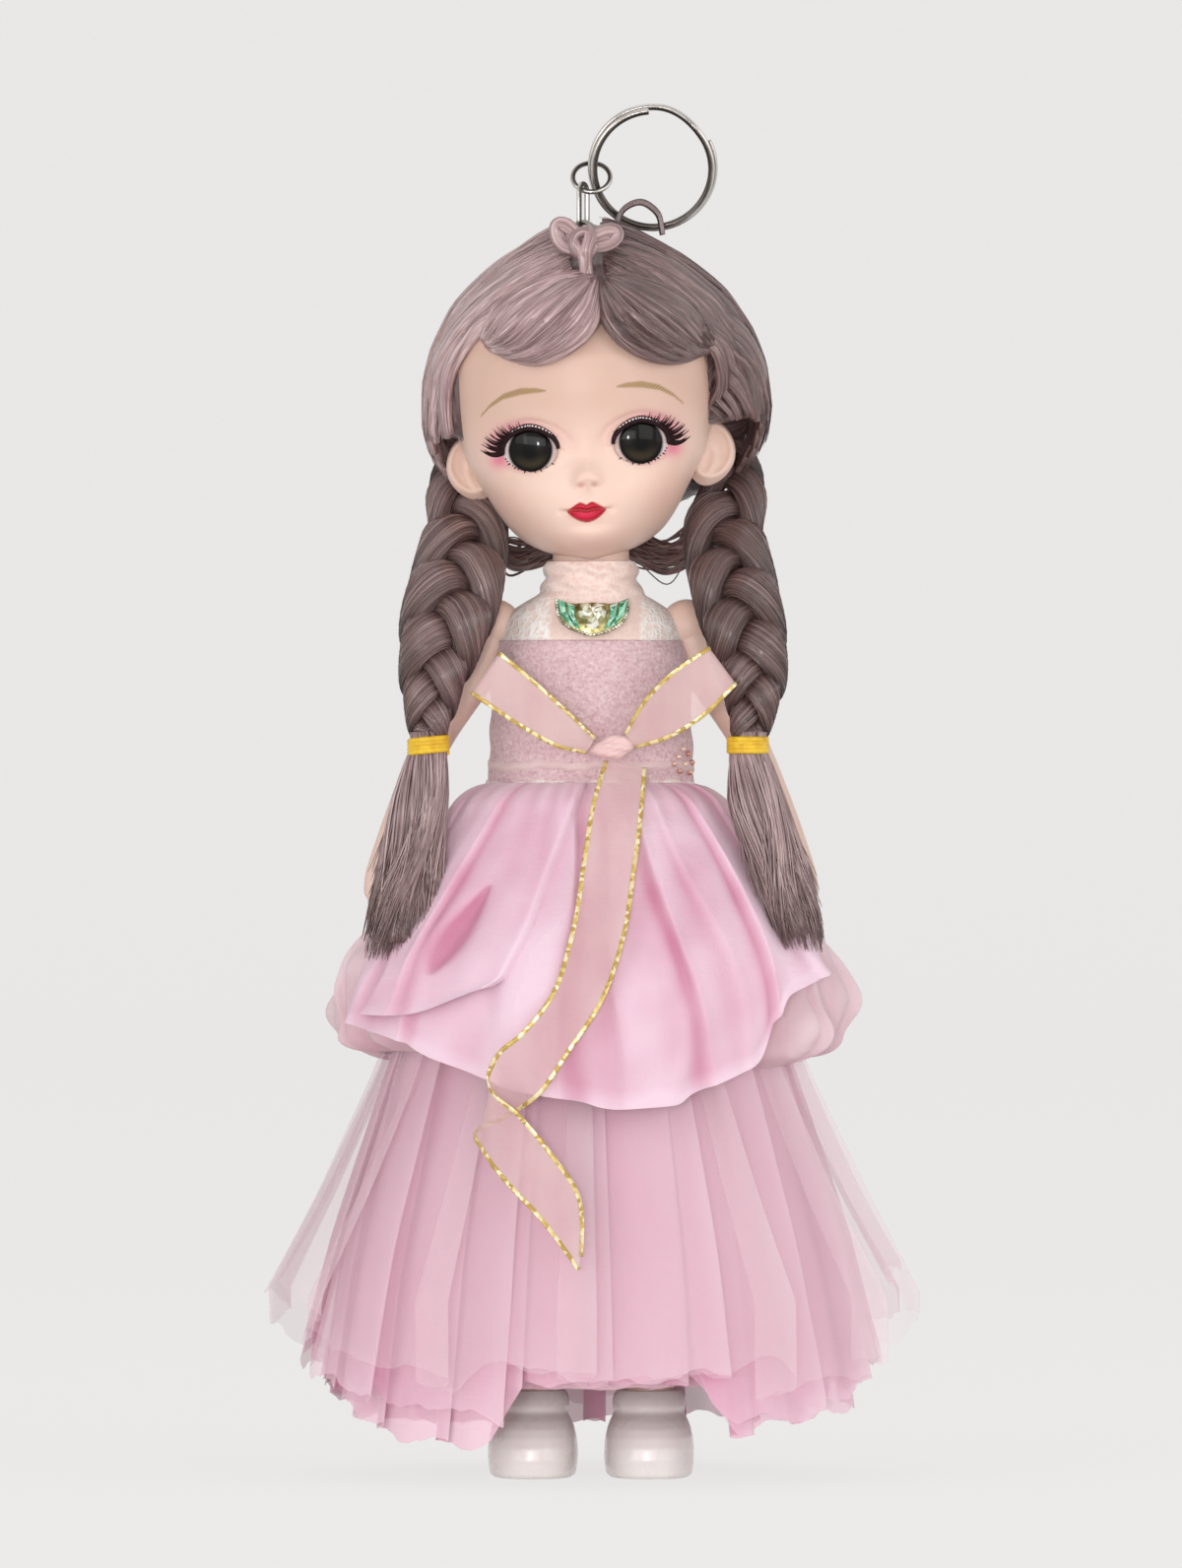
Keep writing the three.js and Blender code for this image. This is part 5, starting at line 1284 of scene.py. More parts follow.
def tail_fibres(side, steps=14):
    """Fibres that keep their place in the tail's cross-section, wander a little and end early."""
    made = []
    rows = curve(tail_places[side], 60)
    along = np.linspace(0, 1, steps)
    for i in range(tail_count):
        radius, turn = rng.random() ** 0.35, rng.random() * 2 * np.pi
        until = 0.66 + 0.4 * rng.random() ** 0.6
        s = np.linspace(0, min(until, 1.0), steps) * 59
        row = np.array([np.interp(s, np.arange(60), column) for column in rows.T]).T
        extra = max(0, until - 1.0) * 40 * along**3
        spin = turn + 0.3 * np.sin(np.linspace(0, 4, steps) + 2 * np.cos(turn) + 0.3 * math.sin(i))
        wide = row[:, 3] * radius * (1 + 0.05 * math.sin(i * 1.9))
        curl = 1.1 * np.sin(5.0 * along + 0.8 * np.round(2 * np.cos(turn))) * along
        x = row[:, 0] + wide * np.cos(spin) + curl
        y = row[:, 1] + row[:, 4] * radius * np.sin(spin)
        path = np.stack([x, y, row[:, 2] - extra], -1)
        girth = (0.09 + 0.08 * rng.random()) * (1 - 0.75 * along**4)
        made.append(swept(path, girth, girth * 0.8, (0, -1, 0), columns=4))
    return np.array(made)


for side in signs:
    rows = curve(tail_places[side], 40)
    wide, thick = rows[:, 3] * np.linspace(0.9, 0.55, 40), rows[:, 4] * 0.8
    core = swept(rows[:, :3], wide, thick, (0, -1, 0), 30, 8, 0.16)
    made = solid(f"tail_core_{side}", core, size=(60, 2))
    dress(made, tail_fibre, "hair_fibre", "root", f"hair_tail_{side}")
    loose = solid(f"tail_fibres_{side}", tail_fibres(side), size=(0.9, 1.5),
                  shifts=shifts_of(tail_count, 1.9, 0.7))
    dress(loose, tail_fibre, "hair_fibre", "root")

# %% [markdown]
# ## Elastics
# A thin yellow band wound a few times. One cord of several turns, each lying beside the last, shows
# its ridges, and the ends hide in the hair.

# %% Elastics
band_yellow = finish("elastic_band", (228, 184, 22), 0.42, Coat_Weight=0.2)
shade(band_yellow, Base_Color=clouded(band_yellow, 700, 2.0, (0.3, (212, 162, 12)), (0.7, (240, 200, 40))),
      Normal=bumped(band_yellow, noise(band_yellow, spread(band_yellow, scale=(1, 1, 4)), 2500), 0.3, 0.0001))
for side, x, lean in (("left", -22.5, 0.06), ("right", 21.7, -0.04)):
    turn = np.linspace(0, 2 * np.pi * 4.2, 200)
    path = np.stack([x + 2.6 * np.cos(turn), -13.4 + 2.4 * np.sin(turn),
                     101.7 + (turn / turn[-1] - 0.5) * 2.2 + lean * 2.6 * np.cos(turn)], -1)
    out = np.stack([np.cos(turn), np.sin(turn), 0 * turn], -1)
    band = solid(f"band_{side}", swept(path, 0.42, 0.38, out, 10), size=(1, 20))
    dress(band, band_yellow, "elastic_band", "root", f"elastic_{side}")


# %% [markdown]
# ## Body, arms, legs and shoes
# Under the dress the doll is a jointed figure: a hollow torso with a neck, arms that hang on pegs
# and legs that end in moulded shoes. Each is a stack of outlines or a swept limb in the same vinyl
# as the head, smooth enough for the joints to be looked at with the skirt swung aside.

# %% Torso and neck
torso_rows = [
    (83, 11.4, 6.4, 7.0), (88, 12.4, 7.2, 8.2), (97, 12.4, 7.0, 7.0), (106.6, 12.0, 7.8, 7.4),
    (116.2, 12.2, 8.2, 7.6),
    (119.5, 11.6, 7.2, 7.2), (121.5, 8.8, 6.2, 6.2), (123.1, 5.8, 5.5, 5.5), (126.1, 5.4, 5.4, 5.4),
    (129.5, 5.3, 5.3, 5.3),
]
torso_table = smooth_rows(torso_rows, 240, 0.7)


def torso_grid(heights, grow, columns=96, turns=(-np.pi, np.pi), around=True):
    """The torso's surface pushed out by a thickness: x = w sin a, y = -d cos a at each height."""
    a = np.linspace(*turns, columns, endpoint=not around)
    z, a = np.meshgrid(heights, a, indexing="ij")
    wide = look_up(torso_table, z, 1) + grow
    deep = depth_at(torso_table, z, np.cos(a) > 0) + grow
    return np.stack([wide * np.sin(a), -deep * np.cos(a), z], -1)


trunk_heights = np.concatenate([np.linspace(83.2, 118, 40), np.linspace(118.4, 129.2, 40)])
body_skin = solid("body_skin", torso_grid(trunk_heights, 0.0))
dress(body_skin, vinyl, "skin_vinyl", "root", "torso_front", "torso_back", "neck_post")

# %% Arms and legs
arm_girths = [(0, 3.3, 3.5), (0.25, 2.8, 3.0), (0.5, 2.4, 2.6), (0.75, 1.9, 2.0), (0.86, 1.7, 2.4),
              (0.95, 1.4, 2.2),
              (1, 0.6, 0.9)]


def arm_grid(sign):
    """An arm from the shoulder ball to the fingertips, bent a little at the elbow."""
    x0 = sign * 13.4
    path = curve([(0, 0, 119.5), (1.5, 0.1, 114), (8.5, 0.6, 102.5), (15.0, 0, 87.3), (16.6, -0.3, 82.8),
                  (17.0, -0.4, 79.8)], 70) * (sign, 1, 1) + (x0, 0, 0)
    wide, thick = (look_up(np.array(arm_girths), np.linspace(0, 1, 70), column) for column in (1, 2))
    return swept(path, wide, thick, (0, -1, 0), 28)


def leg_grid(sign):
    """A leg from the hip to inside the shoe, with a calf."""
    rows = np.array([(84, 5.4, 0), (79, 5.2, 0.1), (60, 4.9, 0.3), (42, 4.1, 0.55), (27, 4.3, 0.75),
                     (11, 3.5, 1),
                     (3.2, 3.3, 1)])
    z = np.linspace(84, 3.2, 60)[:, None]
    radius, shift = (np.interp(-z, -rows[:, 0], rows[:, column]) for column in (1, 2))
    turn = full_turn(40)
    x = sign * (7 + 1.1 * shift) + radius * np.cos(turn)
    return np.stack([x, radius * np.sin(turn), z + 0 * turn], -1)


for side, sign in signs.items():
    shoulder = ball_grid((sign * 13.4, 0, 118.5), 3.7)
    hip = ball_grid((sign * 7, 0, 84), 5.45)
    dress(solid(f"arm_skin_{side}", arm_grid(sign)), vinyl, "skin_vinyl", f"arm_{side}", f"arm_{side}")
    dress(solid(f"shoulder_ball_{side}", shoulder), vinyl, "skin_vinyl", f"arm_{side}")
    dress(solid(f"leg_skin_{side}", leg_grid(sign)), vinyl, "skin_vinyl", f"leg_{side}", f"leg_{side}")
    dress(solid(f"hip_ball_{side}", hip), vinyl, "skin_vinyl", f"leg_{side}")

# %% Shoes
shoe_rows = np.array([
    (0, 0.86, 0.90, -2.4), (0.3, 0.94, 0.96, -2.4), (0.9, 0.965, 0.98, -2.4), (1.1, 0.962, 0.978, -2.4),
    (1.3, 0.972, 0.985, -2.4), (2.6, 0.995, 1.0, -2.4), (4.2, 0.99, 0.985, -2.4), (5.6, 0.965, 0.95, -2.3),
    (6.8, 0.92, 0.89, -2.1), (7.8, 0.86, 0.81, -1.7), (8.5, 0.8, 0.74, -1.2), (8.8, 0.775, 0.71, -0.9),
    (9.1, 0.785, 0.7, -0.7), (9.8, 0.81, 0.7, -0.5), (10.6, 0.81, 0.67, -0.2), (11.3, 0.78, 0.62, 0),
    (11.9, 0.7, 0.55, 0),
])


def shoe_grid(sign, rows=90, columns=72):
    """A moulded shoe: rounded-box outlines that draw in to a collar above a seam line."""
    z, wide, long, shift = smooth_rows(shoe_rows, rows, 0.16).T[..., None]
    turn = full_turn(columns)
    power = 2 / (2.5 - 0.4 * np.clip(z / 11, 0, 1))
    c, s = (np.sign(part) * np.abs(part) ** power for part in (np.cos(turn), np.sin(turn)))
    return np.stack([sign * 8.1 + 6.3 * wide * c, 9.4 * long * s + shift, z + 0 * turn], -1)


shoe_gloss = finish("shoe_plastic", (232, 222, 216), 0.3, Coat_Weight=0.4, Coat_Roughness=0.15)
shade(shoe_gloss, Base_Color=clouded(shoe_gloss, 220, 3, (0.3, (248, 240, 236)), (0.75, (254, 250, 247))),
      Normal=bumped(shoe_gloss, noise(shoe_gloss, spread(shoe_gloss), 900, 2), 0.15, 0.00012),
      Roughness=level(shoe_gloss, noise(shoe_gloss, spread(shoe_gloss), 400), 0.2, 0.8, 0.22, 0.38))
for side, sign in signs.items():
    shoe = solid(f"shoe_shell_{side}", shoe_grid(sign))
    dress(shoe, shoe_gloss, "shoe_plastic", f"leg_{side}", f"shoe_{side}")

# %% [markdown]
# ## Skirt layers
# Each skirt layer is a strip of sheer cloth gathered at the waist. Gathered cloth doubles back on
# itself, so a layer is a surface whose angle round the body swings to and fro while it goes round:
# where it turns back, three thicknesses lie over one another and read as the crisp edge of a fold,
# helped by a painted highlight on that edge and painted shade under it.
# The cloth is one thin sheet with a little transparency.

# %% Skirt shape
skirt_top = 96.6
tulle_length = 71.0
hem_width = 46.3


def layer_width(flare, order, drop):
    """Half width of a layer below the waist, from its table of drop and spread shares. The first
    3 mm come out of the waist by a quarter circle."""
    table = np.array(flare)
    spread_share = np.interp(drop / tulle_length, table[:, 0], table[:, 1])
    waist = 13.8 + 1.15 * order
    wide = waist + (hem_width - waist) * spread_share
    start = 13.6 + 0.15 * order
    return start + (wide - start) * np.sqrt(1 - (1 - np.clip(drop / 3, 0, 1)) ** 2)


def soft_flare(flare):
    """A flare table made smooth, so that the cloth has no crease where two rows meet."""
    return smooth_rows([(drop, share, 0) for drop, share in flare], 90, 0.035)


def layer_depth(wide, drop):
    """The depth of a layer: a share of its width, and a little flatter near the waist."""
    return wide * 0.82 - 2.6 * np.maximum(0, 1 - drop / tulle_length)


def layer_point(flare, order, turn, drop, out):
    """A place on a layer: x = (w + out) sin a, y = -(d + out) cos a."""
    wide = layer_width(flare, order, drop)
    deep = layer_depth(wide, drop)
    return np.stack([(wide + out) * np.sin(turn), -(deep + out) * np.cos(turn), skirt_top - drop], -1)


# Each row: share round a pleat, the angle's share, how far the cloth goes in under the fold, and the painted
# light: shade under the fold, highlight at its crisp edge
pleat_share = np.array([
    (0, 0, -1.0, 0.15), (0.12, 0.2, -0.35, 0.55), (0.3, 0.48, 0, 0.68), (0.6, 0.98, 0.1, 0.76),
    (0.7, 1.16, 0.15, 1.0),
    (0.76, 1.13, -0.1, 0.8), (0.87, 0.86, -0.8, 0.3), (1, 1, -1.0, 0.15),
])


def gathered(flare, order, hem, pleats, depth, ragged, uneven, seed, rows=46, columns=1100):
    """A ring of soft pleats. Round each pleat the angle runs on, turns back under the fold's edge
    and goes on, by a table of shares, and the reach drops by the depth under the edge. Each pleat
    is cut a little shorter than the last or longer. Gives the points and the painted light of the
    fold: a painted highlight at its crisp edge and painted shade under it."""
    s = full_turn(columns)
    chance = np.random.default_rng(seed)
    phase = chance.random(8) * 2 * np.pi
    beat = pleats * (s + 0.055 * np.sin(3 * s + phase[0]) + 0.04 * np.sin(5 * s + phase[1])) / (2 * np.pi)
    share = beat % 1
    swing, under, fold = (look_up(pleat_share, share, column) for column in (1, 2, 3))
    swing = (swing - share) * 2 * np.pi / pleats
    swing, under, fold = (smoothed(row, 3, "wrap") for row in (swing, under, fold))
    size = 1 + 0.3 * np.sin(3 * s + phase[5]) + 0.2 * np.sin(7 * s + phase[6])
    mirror = np.where(s > np.pi, s - 2 * np.pi, s)
    lengths = hem(mirror) * tulle_length
    threads = ((23, 0.5), (41, 0.35), (83, 0.14), (151, 0.08))
    tatter = sum(np.sin(k * s + phase[k % 8]) * reach for k, reach in threads)
    own = np.append(chance.random(pleats + 2), 0)[np.floor(beat - 0.83).astype(int) + 1]
    own = smoothed(own, 3, "wrap")
    lengths = lengths + ragged * (tatter - 0.6) - uneven * own * (1 - bell(mirror, 0.45))
    v = np.linspace(0, 1, rows)[:, None]
    drop = v * lengths[None]
    grow = np.sqrt(np.clip(drop / tulle_length, 0, 1))
    turn = s[None] + swing[None] * (0.75 + 0.25 * grow)
    out = depth * size[None] * (0.25 + 0.75 * grow) * under[None]
    out = out + 0.35 * depth * grow * np.sin(4 * s + phase[2] + 3 * v) + 0.2 * grow * np.sin(9 * v + 6 * s)
    return layer_point(flare, order, turn, drop, out), fold[None] + 0 * drop


# %% Cloth finishes


def cloth(name, deep, pale, weave, alpha, rough=0.7, sheen=0.25, streak=0.5, fold_shade_share=0.0, rumple=0.0):
    """Sheer cloth: two tones in soft clouds that stretch along the drop, with painted shade in the folds
    and painted highlight on their edges from each piece's fold value, a fine weave and, where asked
    for, crisp rumples as relief and as painted shade along their creases, and one transparency."""
    made = finish(
        name, pale, rough, Sheen_Weight=sheen, Sheen_Roughness=0.4, Alpha=alpha, Specular_IOR_Level=0.3,
        Subsurface_Weight=0.12, Subsurface_Scale=0.003, Subsurface_Radius=(1, 0.5, 0.6))
    long_cloud = noise(made, spread(made, scale=(1, 1, 0.22)), 170, 3)
    cloud = noise(made, spread(made), 90, 2)
    value = weighed(made, long_cloud, streak, cloud, 1 - streak)
    # painted light and shade: each piece's fold value darkens the cloth in its folds and lightens their edges
    if fold_shade_share:
        value = weighed(made, value, 1 - fold_shade_share, attribute(made, "fold", "Fac"), fold_shade_share)
    threads = noise(made, spread(made, scale=(1, 1, 0.12)), weave, 1)
    crossing = noise(made, spread(made, scale=(0.12, 0.12, 1)), weave, 1)
    grain = maths(made, "ADD", threads, crossing)
    height = maths(made, "MULTIPLY", grain, 0.1)
    if rumple:
        broad = cells(made, spread(made, scale=(1, 1, 0.45)), 95)
        small = cells(made, spread(made, scale=(1, 1, 0.7)), 210)
        facets = weighed(made, broad, 1.0, small, 0.3)
        height = weighed(made, height, 1.0, facets, rumple)
        # painted shade: the rumple facets also darken the colour along their creases
        value = nudged(made, value, facets, 0.55, 0.16 * rumple)
    low, high = (0.2, 0.82) if fold_shade_share else (0.32, 0.68)
    shade(made, Base_Color=ramp(made, value, (low, deep), (high, pale)),
          Normal=bumped(made, height, 0.5, 0.001),
          Roughness=level(made, grain, 0.6, 1.4, rough - 0.08, rough + 0.08))
    return made


organza = cloth("organza", (206, 136, 162), (240, 210, 224), 2600, 0.97, 0.7, 0.3, 0.5, 0.6, 1.6)
puff_organza = cloth("puff_organza", (220, 170, 184), (244, 216, 222), 2400, 0.78, 0.7, 0.3, 0.5, 0.6, 1.3)
tulle_deep = cloth("tulle_deep", (240, 190, 206), (252, 220, 229), 2200, 0.92)
tulle_pink = cloth("tulle_pink", (232, 160, 190), (252, 216, 230), 2200, 0.72, 0.7, 0.25, 0.7, 0.65)
tulle_mid = cloth("tulle_mid", (238, 170, 199), (254, 222, 235), 2200, 0.5, 0.7, 0.25, 0.7, 0.65)
tulle_sheer = cloth("tulle_sheer", (246, 206, 220), (255, 232, 238), 2200, 0.22, 0.7, 0.2, 0.7, 0.6)

# %% Lining and tulle
flares = {
    "lining": [(0, 0), (0.169, 0.08), (0.563, 0.295), (1.183, 0.486)],
    "inner": [(0, 0), (0.169, 0.116), (0.563, 0.397), (0.944, 0.624), (1.282, 0.742)],
    "middle": [(0, 0), (0.169, 0.126), (0.4, 0.29), (0.563, 0.43), (0.9, 0.69), (1.2, 0.86)],
    "outer": [(0, 0), (0.169, 0.136), (0.38, 0.315), (0.563, 0.467), (0.803, 0.742), (1.0, 1.0)],
    "puff": [(0, 0), (0.113, 0.184), (0.211, 0.346), (0.338, 0.542), (0.423, 0.632), (0.507, 0.611),
             (0.563, 0.528)],
    "drape": [(0, 0), (0.113, 0.208), (0.211, 0.38), (0.338, 0.588), (0.423, 0.674), (0.507, 0.674),
              (0.648, 0.631)],
}
flares = {name: soft_flare(flare)[:, :2] for name, flare in flares.items()}


def split(t):
    """1 over the shoes, where the hems are cut away in front, and 0 beside them."""
    return 1 - step(np.abs(t), 0.36, 0.48)


def inner_hem(t):
    """Longest beside the split in front, shorter at the sides."""
    return 1.295 - 0.125 * split(t) - 0.03 * bell(t - 0.8, 0.3) - 0.11 * np.sin(t) ** 8


skirt_layers = [
    ("skirt_lining_cloth", "lining", 0, lambda t: 1.176 + 0 * t, (16, 0.9, 0.3, 0, 3),
     tulle_deep, "lining_cloth", ["skirt_lining"]),
    ("tulle_inner_cloth", "inner", 1, inner_hem, (20, 1.6, 0.9, 1.5, 4),
     tulle_pink, "tulle", ["tulle_inner"]),
    ("tulle_middle_cloth", "middle", 1.5, lambda t: 1.12 + 0.16 * np.abs(np.cos(t)) - 0.12 * split(t),
     (15, 1.6, 1.2, 3.0, 9), tulle_mid, "tulle", []),
    ("tulle_outer_cloth", "outer", 2, lambda t: 1.0 + 0.24 * np.abs(np.cos(t)) ** 1.3 - 0.08 * split(t),
     (13, 1.7, 1.0, 4.0, 6), tulle_sheer, "tulle", ["tulle_outer"]),
]
for name, flare, order, hem, pleating, material, slot_name, nodes in skirt_layers:
    grid, fold = gathered(flares[flare], order, hem, *pleating)
    layer = surface(name, grid, around=True, inside=(0, 0, 60))
    # the painted light and shade of each pleat, read by the cloth finish
    paint(layer, "fold", fold.reshape(-1))
    dress(layer, material, slot_name, "root", *nodes)

# %% [markdown]
# ## Puffed overskirt and front drape
# The overskirt is gathered at the waist and again at its hem, which is turned under, so its sides
# stand out as soft puffs. In front lie two petals of the same cloth: a broad one with a scalloped
# hem and a shorter one on the left that folds over it. Their hems and edges are tables of turns and
# drops, and their folds are ridges that run down from the waist.

# %% Puffs


def puff_grid(rows=70, columns=900):
    """The puffed ring: its hem turns in under the widest part, and gathers and dents crumple it.
    It also gives painted light and shade: paler where the cloth stands out, darker where it sinks
    and under the turned hem.
    """
    s = full_turn(columns)
    v = np.linspace(0, 1, rows)[:, None]
    drop = 40.4 * v + 1.5 * np.sin(2 * s + 0.6)[None] * v**2
    under = np.clip((v - 0.9) / 0.1, 0, 1)
    beat = 15 * s + 0.9 * np.sin(2 * s + 1) + 0.5 * np.sin(5 * s)
    size = 1 + 0.4 * np.sin(3 * s + 2)
    gathers = size * (np.abs(np.sin(beat / 2)) ** 0.8 * 2 - 1.2)
    waves = ((0.9, 4, 11, 0), (0.7, 7, -15, 1), (0.45, 6, 24, 0), (0.35, -11, 31, 0))
    dents = 0.7 * np.sin(2.3 * beat + 9 * v)
    dents = dents + sum(height * np.sin(k * s + m * v + start) for height, k, m, start in waves)
    out = 1.5 * np.sqrt(v) * gathers + v * dents
    turn = s[None] + 0.05 * np.sqrt(v) * np.sin(beat)[None]
    # painted light and shade: paler where the cloth stands out, darker where it sinks and under the turned
    # hem
    fold = np.clip(0.62 + 0.2 * gathers + 0.13 * dents - 0.4 * under, 0, 1)
    return layer_point(flares["puff"], 3, turn, drop - 1.6 * under**2, out - 5.0 * under**1.5), fold


grid, fold = puff_grid()
puffs = surface("overskirt_cloth", grid, around=True, inside=(0, 0, 75))
paint(puffs, "fold", fold.reshape(-1))
dress(puffs, puff_organza, "organza", "root", "overskirt")

# %% Petals
petal_hem = [(-1.0, 33), (-0.733, 35.8), (-0.62, 37.1), (-0.435, 40.5), (-0.15, 43.2), (0.12, 44.9),
             (0.295, 44.2),
             (0.477, 41.7), (0.63, 38.3), (0.71, 34), (0.785, 29.6), (1.02, 25)]
creases = [(-0.9, -0.08, 0.8, 0.12), (-0.6, -0.2, 1.3, 0.22), (-0.1, -0.03, 1.5, 0.12),
           (0.09, 0.04, 0.8, 0.1),
           (0.24, 0.24, 1.5, 0.16), (0.42, 0.2, 0.6, 0.1), (0.66, 0.14, 1.7, 0.22), (0.88, 0.1, 1.0, 0.12)]


def crumple(turn, drop):
    """Folds that fan out from the waist. Each has a steep lip towards the middle of the front and
    falls off outwards: h step(d) exp(-d / w), with d the turn from the fold. Gives the height and
    the cloth's painted light: soft waves of tone, a painted highlight on each lip and painted shade
    darkest just inside it, and painted light and shade on the ripples and the gathers."""
    share = drop / 42
    out = 0.7 * np.sin(2.1 * turn + drop / 17)
    out = out + 0.5 * np.sin(6.3 * turn - drop / 7) * np.clip(drop / 25, 0, 1)
    light = (0.62 + 0.08 * np.sin(5 * turn + drop / 9) + 0.09 * np.sin(3.1 * turn - 0.14 * drop + 1)
             + 0.05 * np.sin(17 * turn + 0.5 * drop) * np.sin(0.4 * drop))
    for place, drift, height, width in creases:
        d = np.sign(place) * (turn - place - drift * share - 0.02 * np.sin(drop / 6 + 9 * place))
        lip = step(d, -0.03, 0.0) * np.exp(-np.maximum(d, 0) / (width * (0.6 + 0.5 * share)))
        fade = (0.35 + 0.65 * np.clip(drop / 14, 0, 1)) * (1 - 0.35 * np.clip(share, 0, 1) ** 2)
        out = out + height * fade * lip
        light = light + fade * (height / 1.6) * (0.26 * lip - 0.6 * bell(d + 0.04, 0.026 + 0.03 * share))
    ripple = np.sin(27 * turn + drop * 0.3) * np.clip(drop / 30, 0, 1)
    gather = np.sin(46 * turn + 3 * np.sin(5 * turn)) * np.exp(-drop / 5)
    return out + 0.14 * ripple + 0.3 * gather, light + 0.05 * ripple + 0.14 * gather


def petal_grid(rows=110, columns=300):
    """The broad petal: across from the left edge to the right edge, down to the scalloped hem."""
    u = np.linspace(0, 1, columns)[None]
    v = np.linspace(0, 1, rows)[:, None]
    left = -1.12 + 0.12 * v
    right = np.interp(v, [0, 0.36, 0.68, 1], [0.9, 0.94, 1.03, 1.02])
    turn = left + (right - left) * u
    table = np.array(petal_hem)
    hem = smoothed(np.interp(turn[-1], table[:, 0], table[:, 1]), 8, "edge")
    drop = v * hem[None]
    curl = np.clip((v - 0.94) / 0.06, 0, 1)
    out, light = crumple(turn, drop)
    out = out + 0.9 + 0.5 * curl**2
    edge = np.clip((u - 0.9) / 0.1, 0, 1) * v
    out = out + 2.2 * edge - 2.4 * bell(u - 1, 0.02) * v
    # painted highlight where the hem curls and along the raised right edge
    light = light + 0.35 * curl + 0.3 * edge
    turn = turn - 0.03 * np.sin(18 * turn) * v
    return layer_point(flares["drape"], 4, turn, drop, out), light


def lobe_grid(rows=90, columns=170):
    """The short left petal, which lies over the broad one, with a hollow fold low on it."""
    u = np.linspace(0, 1, columns)[None]
    v = np.linspace(0, 1, rows)[:, None]
    left = np.interp(v, [0, 0.45, 0.82, 1], [-1.12, -0.9, -0.87, -0.93])
    right = np.interp(v, [0, 0.44, 0.77, 0.95, 1], [-0.04, -0.18, -0.245, -0.3, -0.36])
    turn = left + (right - left) * u
    drop = v * (32 - 4 * u**1.5 + 1.1 * np.sin(np.pi * u) ** 2)
    out, light = crumple(turn, drop)
    curl = np.clip((v - 0.92) / 0.08, 0, 1) ** 2
    out = 0.8 * out + 2.6 + 0.8 * curl
    along = np.clip((drop - 14.0) / 12.5, 0, 1)
    line = -0.47 - 0.16 * along
    hollow = bell(turn - line, 0.02 + 0.042 * np.sin(np.pi * along**1.4)) * np.sin(np.pi * along) ** 0.5
    out = out - 1.5 * hollow + 0.7 * bell(turn - line + 0.1, 0.05) * np.sin(np.pi * along)
    out = out - 1.6 * bell(u - 1, 0.03) * (v > 0) - 1.2 * bell(u, 0.03)
    # painted shade in the hollow fold, and painted highlight on the curled hem and the right edge
    light = light - 1.4 * hollow + 0.3 * curl + 0.3 * bell(u - 0.97, 0.03)
    return layer_point(flares["drape"], 4, turn, drop, out), light


def soft_point(grid):
    """Cloth relaxed a little: each inner point moves towards its neighbours' mean, four times."""
    for _ in range(4):
        inner = (grid[:-2, 1:-1] + grid[2:, 1:-1] + grid[1:-1, :-2] + grid[1:-1, 2:]) / 4
        grid[1:-1, 1:-1] = 0.5 * grid[1:-1, 1:-1] + 0.5 * inner
    return grid


for name, (grid, light), nodes in (("petal_front", petal_grid(), ["overskirt_drape"]),
                                   ("petal_left", lobe_grid(), [])):
    grid = soft_point(grid)
    petal = surface(name, grid, inside=(0, 0, 75))
    # the painted light and shade of the petals, with waves of tone
    paint(petal, "fold", np.clip(light, 0, 1).reshape(-1))
    dress(petal, organza, "organza", "root", *nodes)

# %% [markdown]
# ## Bodice, yoke and waist
# The bodice is a close band of pink brocade with glitter, and above it a lace yoke goes up to the
# neck, sheer in the middle and patterned at the sides. They follow the torso's own outlines at
# their own thickness, and small creases keep them from looking like paint. A hook-and-loop strip
# closes the back.

# %% Bodice and yoke
brocade = finish("brocade", (226, 178, 192), 0.6, Sheen_Weight=0.2)
where = spread(brocade)
knots = noise(brocade, where, 2100, 3, 0.6)
floral = noise(brocade, spread(brocade, scale=(1, 1, 1.8)), 900, 3, 0.6)
glitter = level(brocade, cells(brocade, where, 1900), 0.22, 0.1)
stitches = weighed(brocade, knots, 0.75, floral, 0.45)
stitch_tone = ramp(brocade, stitches, (0.4, (204, 162, 170)), (0.6, (224, 190, 196)), (0.82, (240, 216, 217)))
sparks = maths(brocade, "MULTIPLY", glitter, 0.6)
shade(brocade, Base_Color=mixed(brocade, sparks, stitch_tone, (250, 236, 226)),
      Normal=bumped(brocade, stitches, 0.85, 0.0005), Roughness=level(brocade, glitter, 0, 1, 0.62, 0.25))

lace = finish("lace", (244, 232, 224), 0.75, Sheen_Weight=0.15)
where = spread(lace)
web = level(lace, cells(lace, where, 900, "DISTANCE_TO_EDGE"), 0.0, 0.14, 1.0, 0.0)
drift = maths(lace, "ABSOLUTE", maths(lace, "SUBTRACT", noise(lace, where, 560, 2), 0.5))
vines = level(lace, drift, 0.0, 0.06, 1.0, 0.0)
threads = maths(lace, "MAXIMUM", web, vines)
panels = attribute(lace, "panel", "Fac")
patterned = mixed(lace, threads, (242, 222, 213), (255, 253, 250))
sheer = mixed(lace, maths(lace, "MULTIPLY", threads, 0.35), (236, 206, 196), (250, 234, 226))
shade(lace, Base_Color=mixed(lace, panels, sheer, patterned),
      Normal=bumped(lace, maths(lace, "MULTIPLY", threads, panels), 0.45, 0.00025))


def pushed(grid, out):
    """Points moved away from the Z axis by a distance each."""
    x, y, z = np.moveaxis(grid, -1, 0)
    scale = 1 + out / np.hypot(x, y)
    return np.stack([x * scale, y * scale, z], -1)


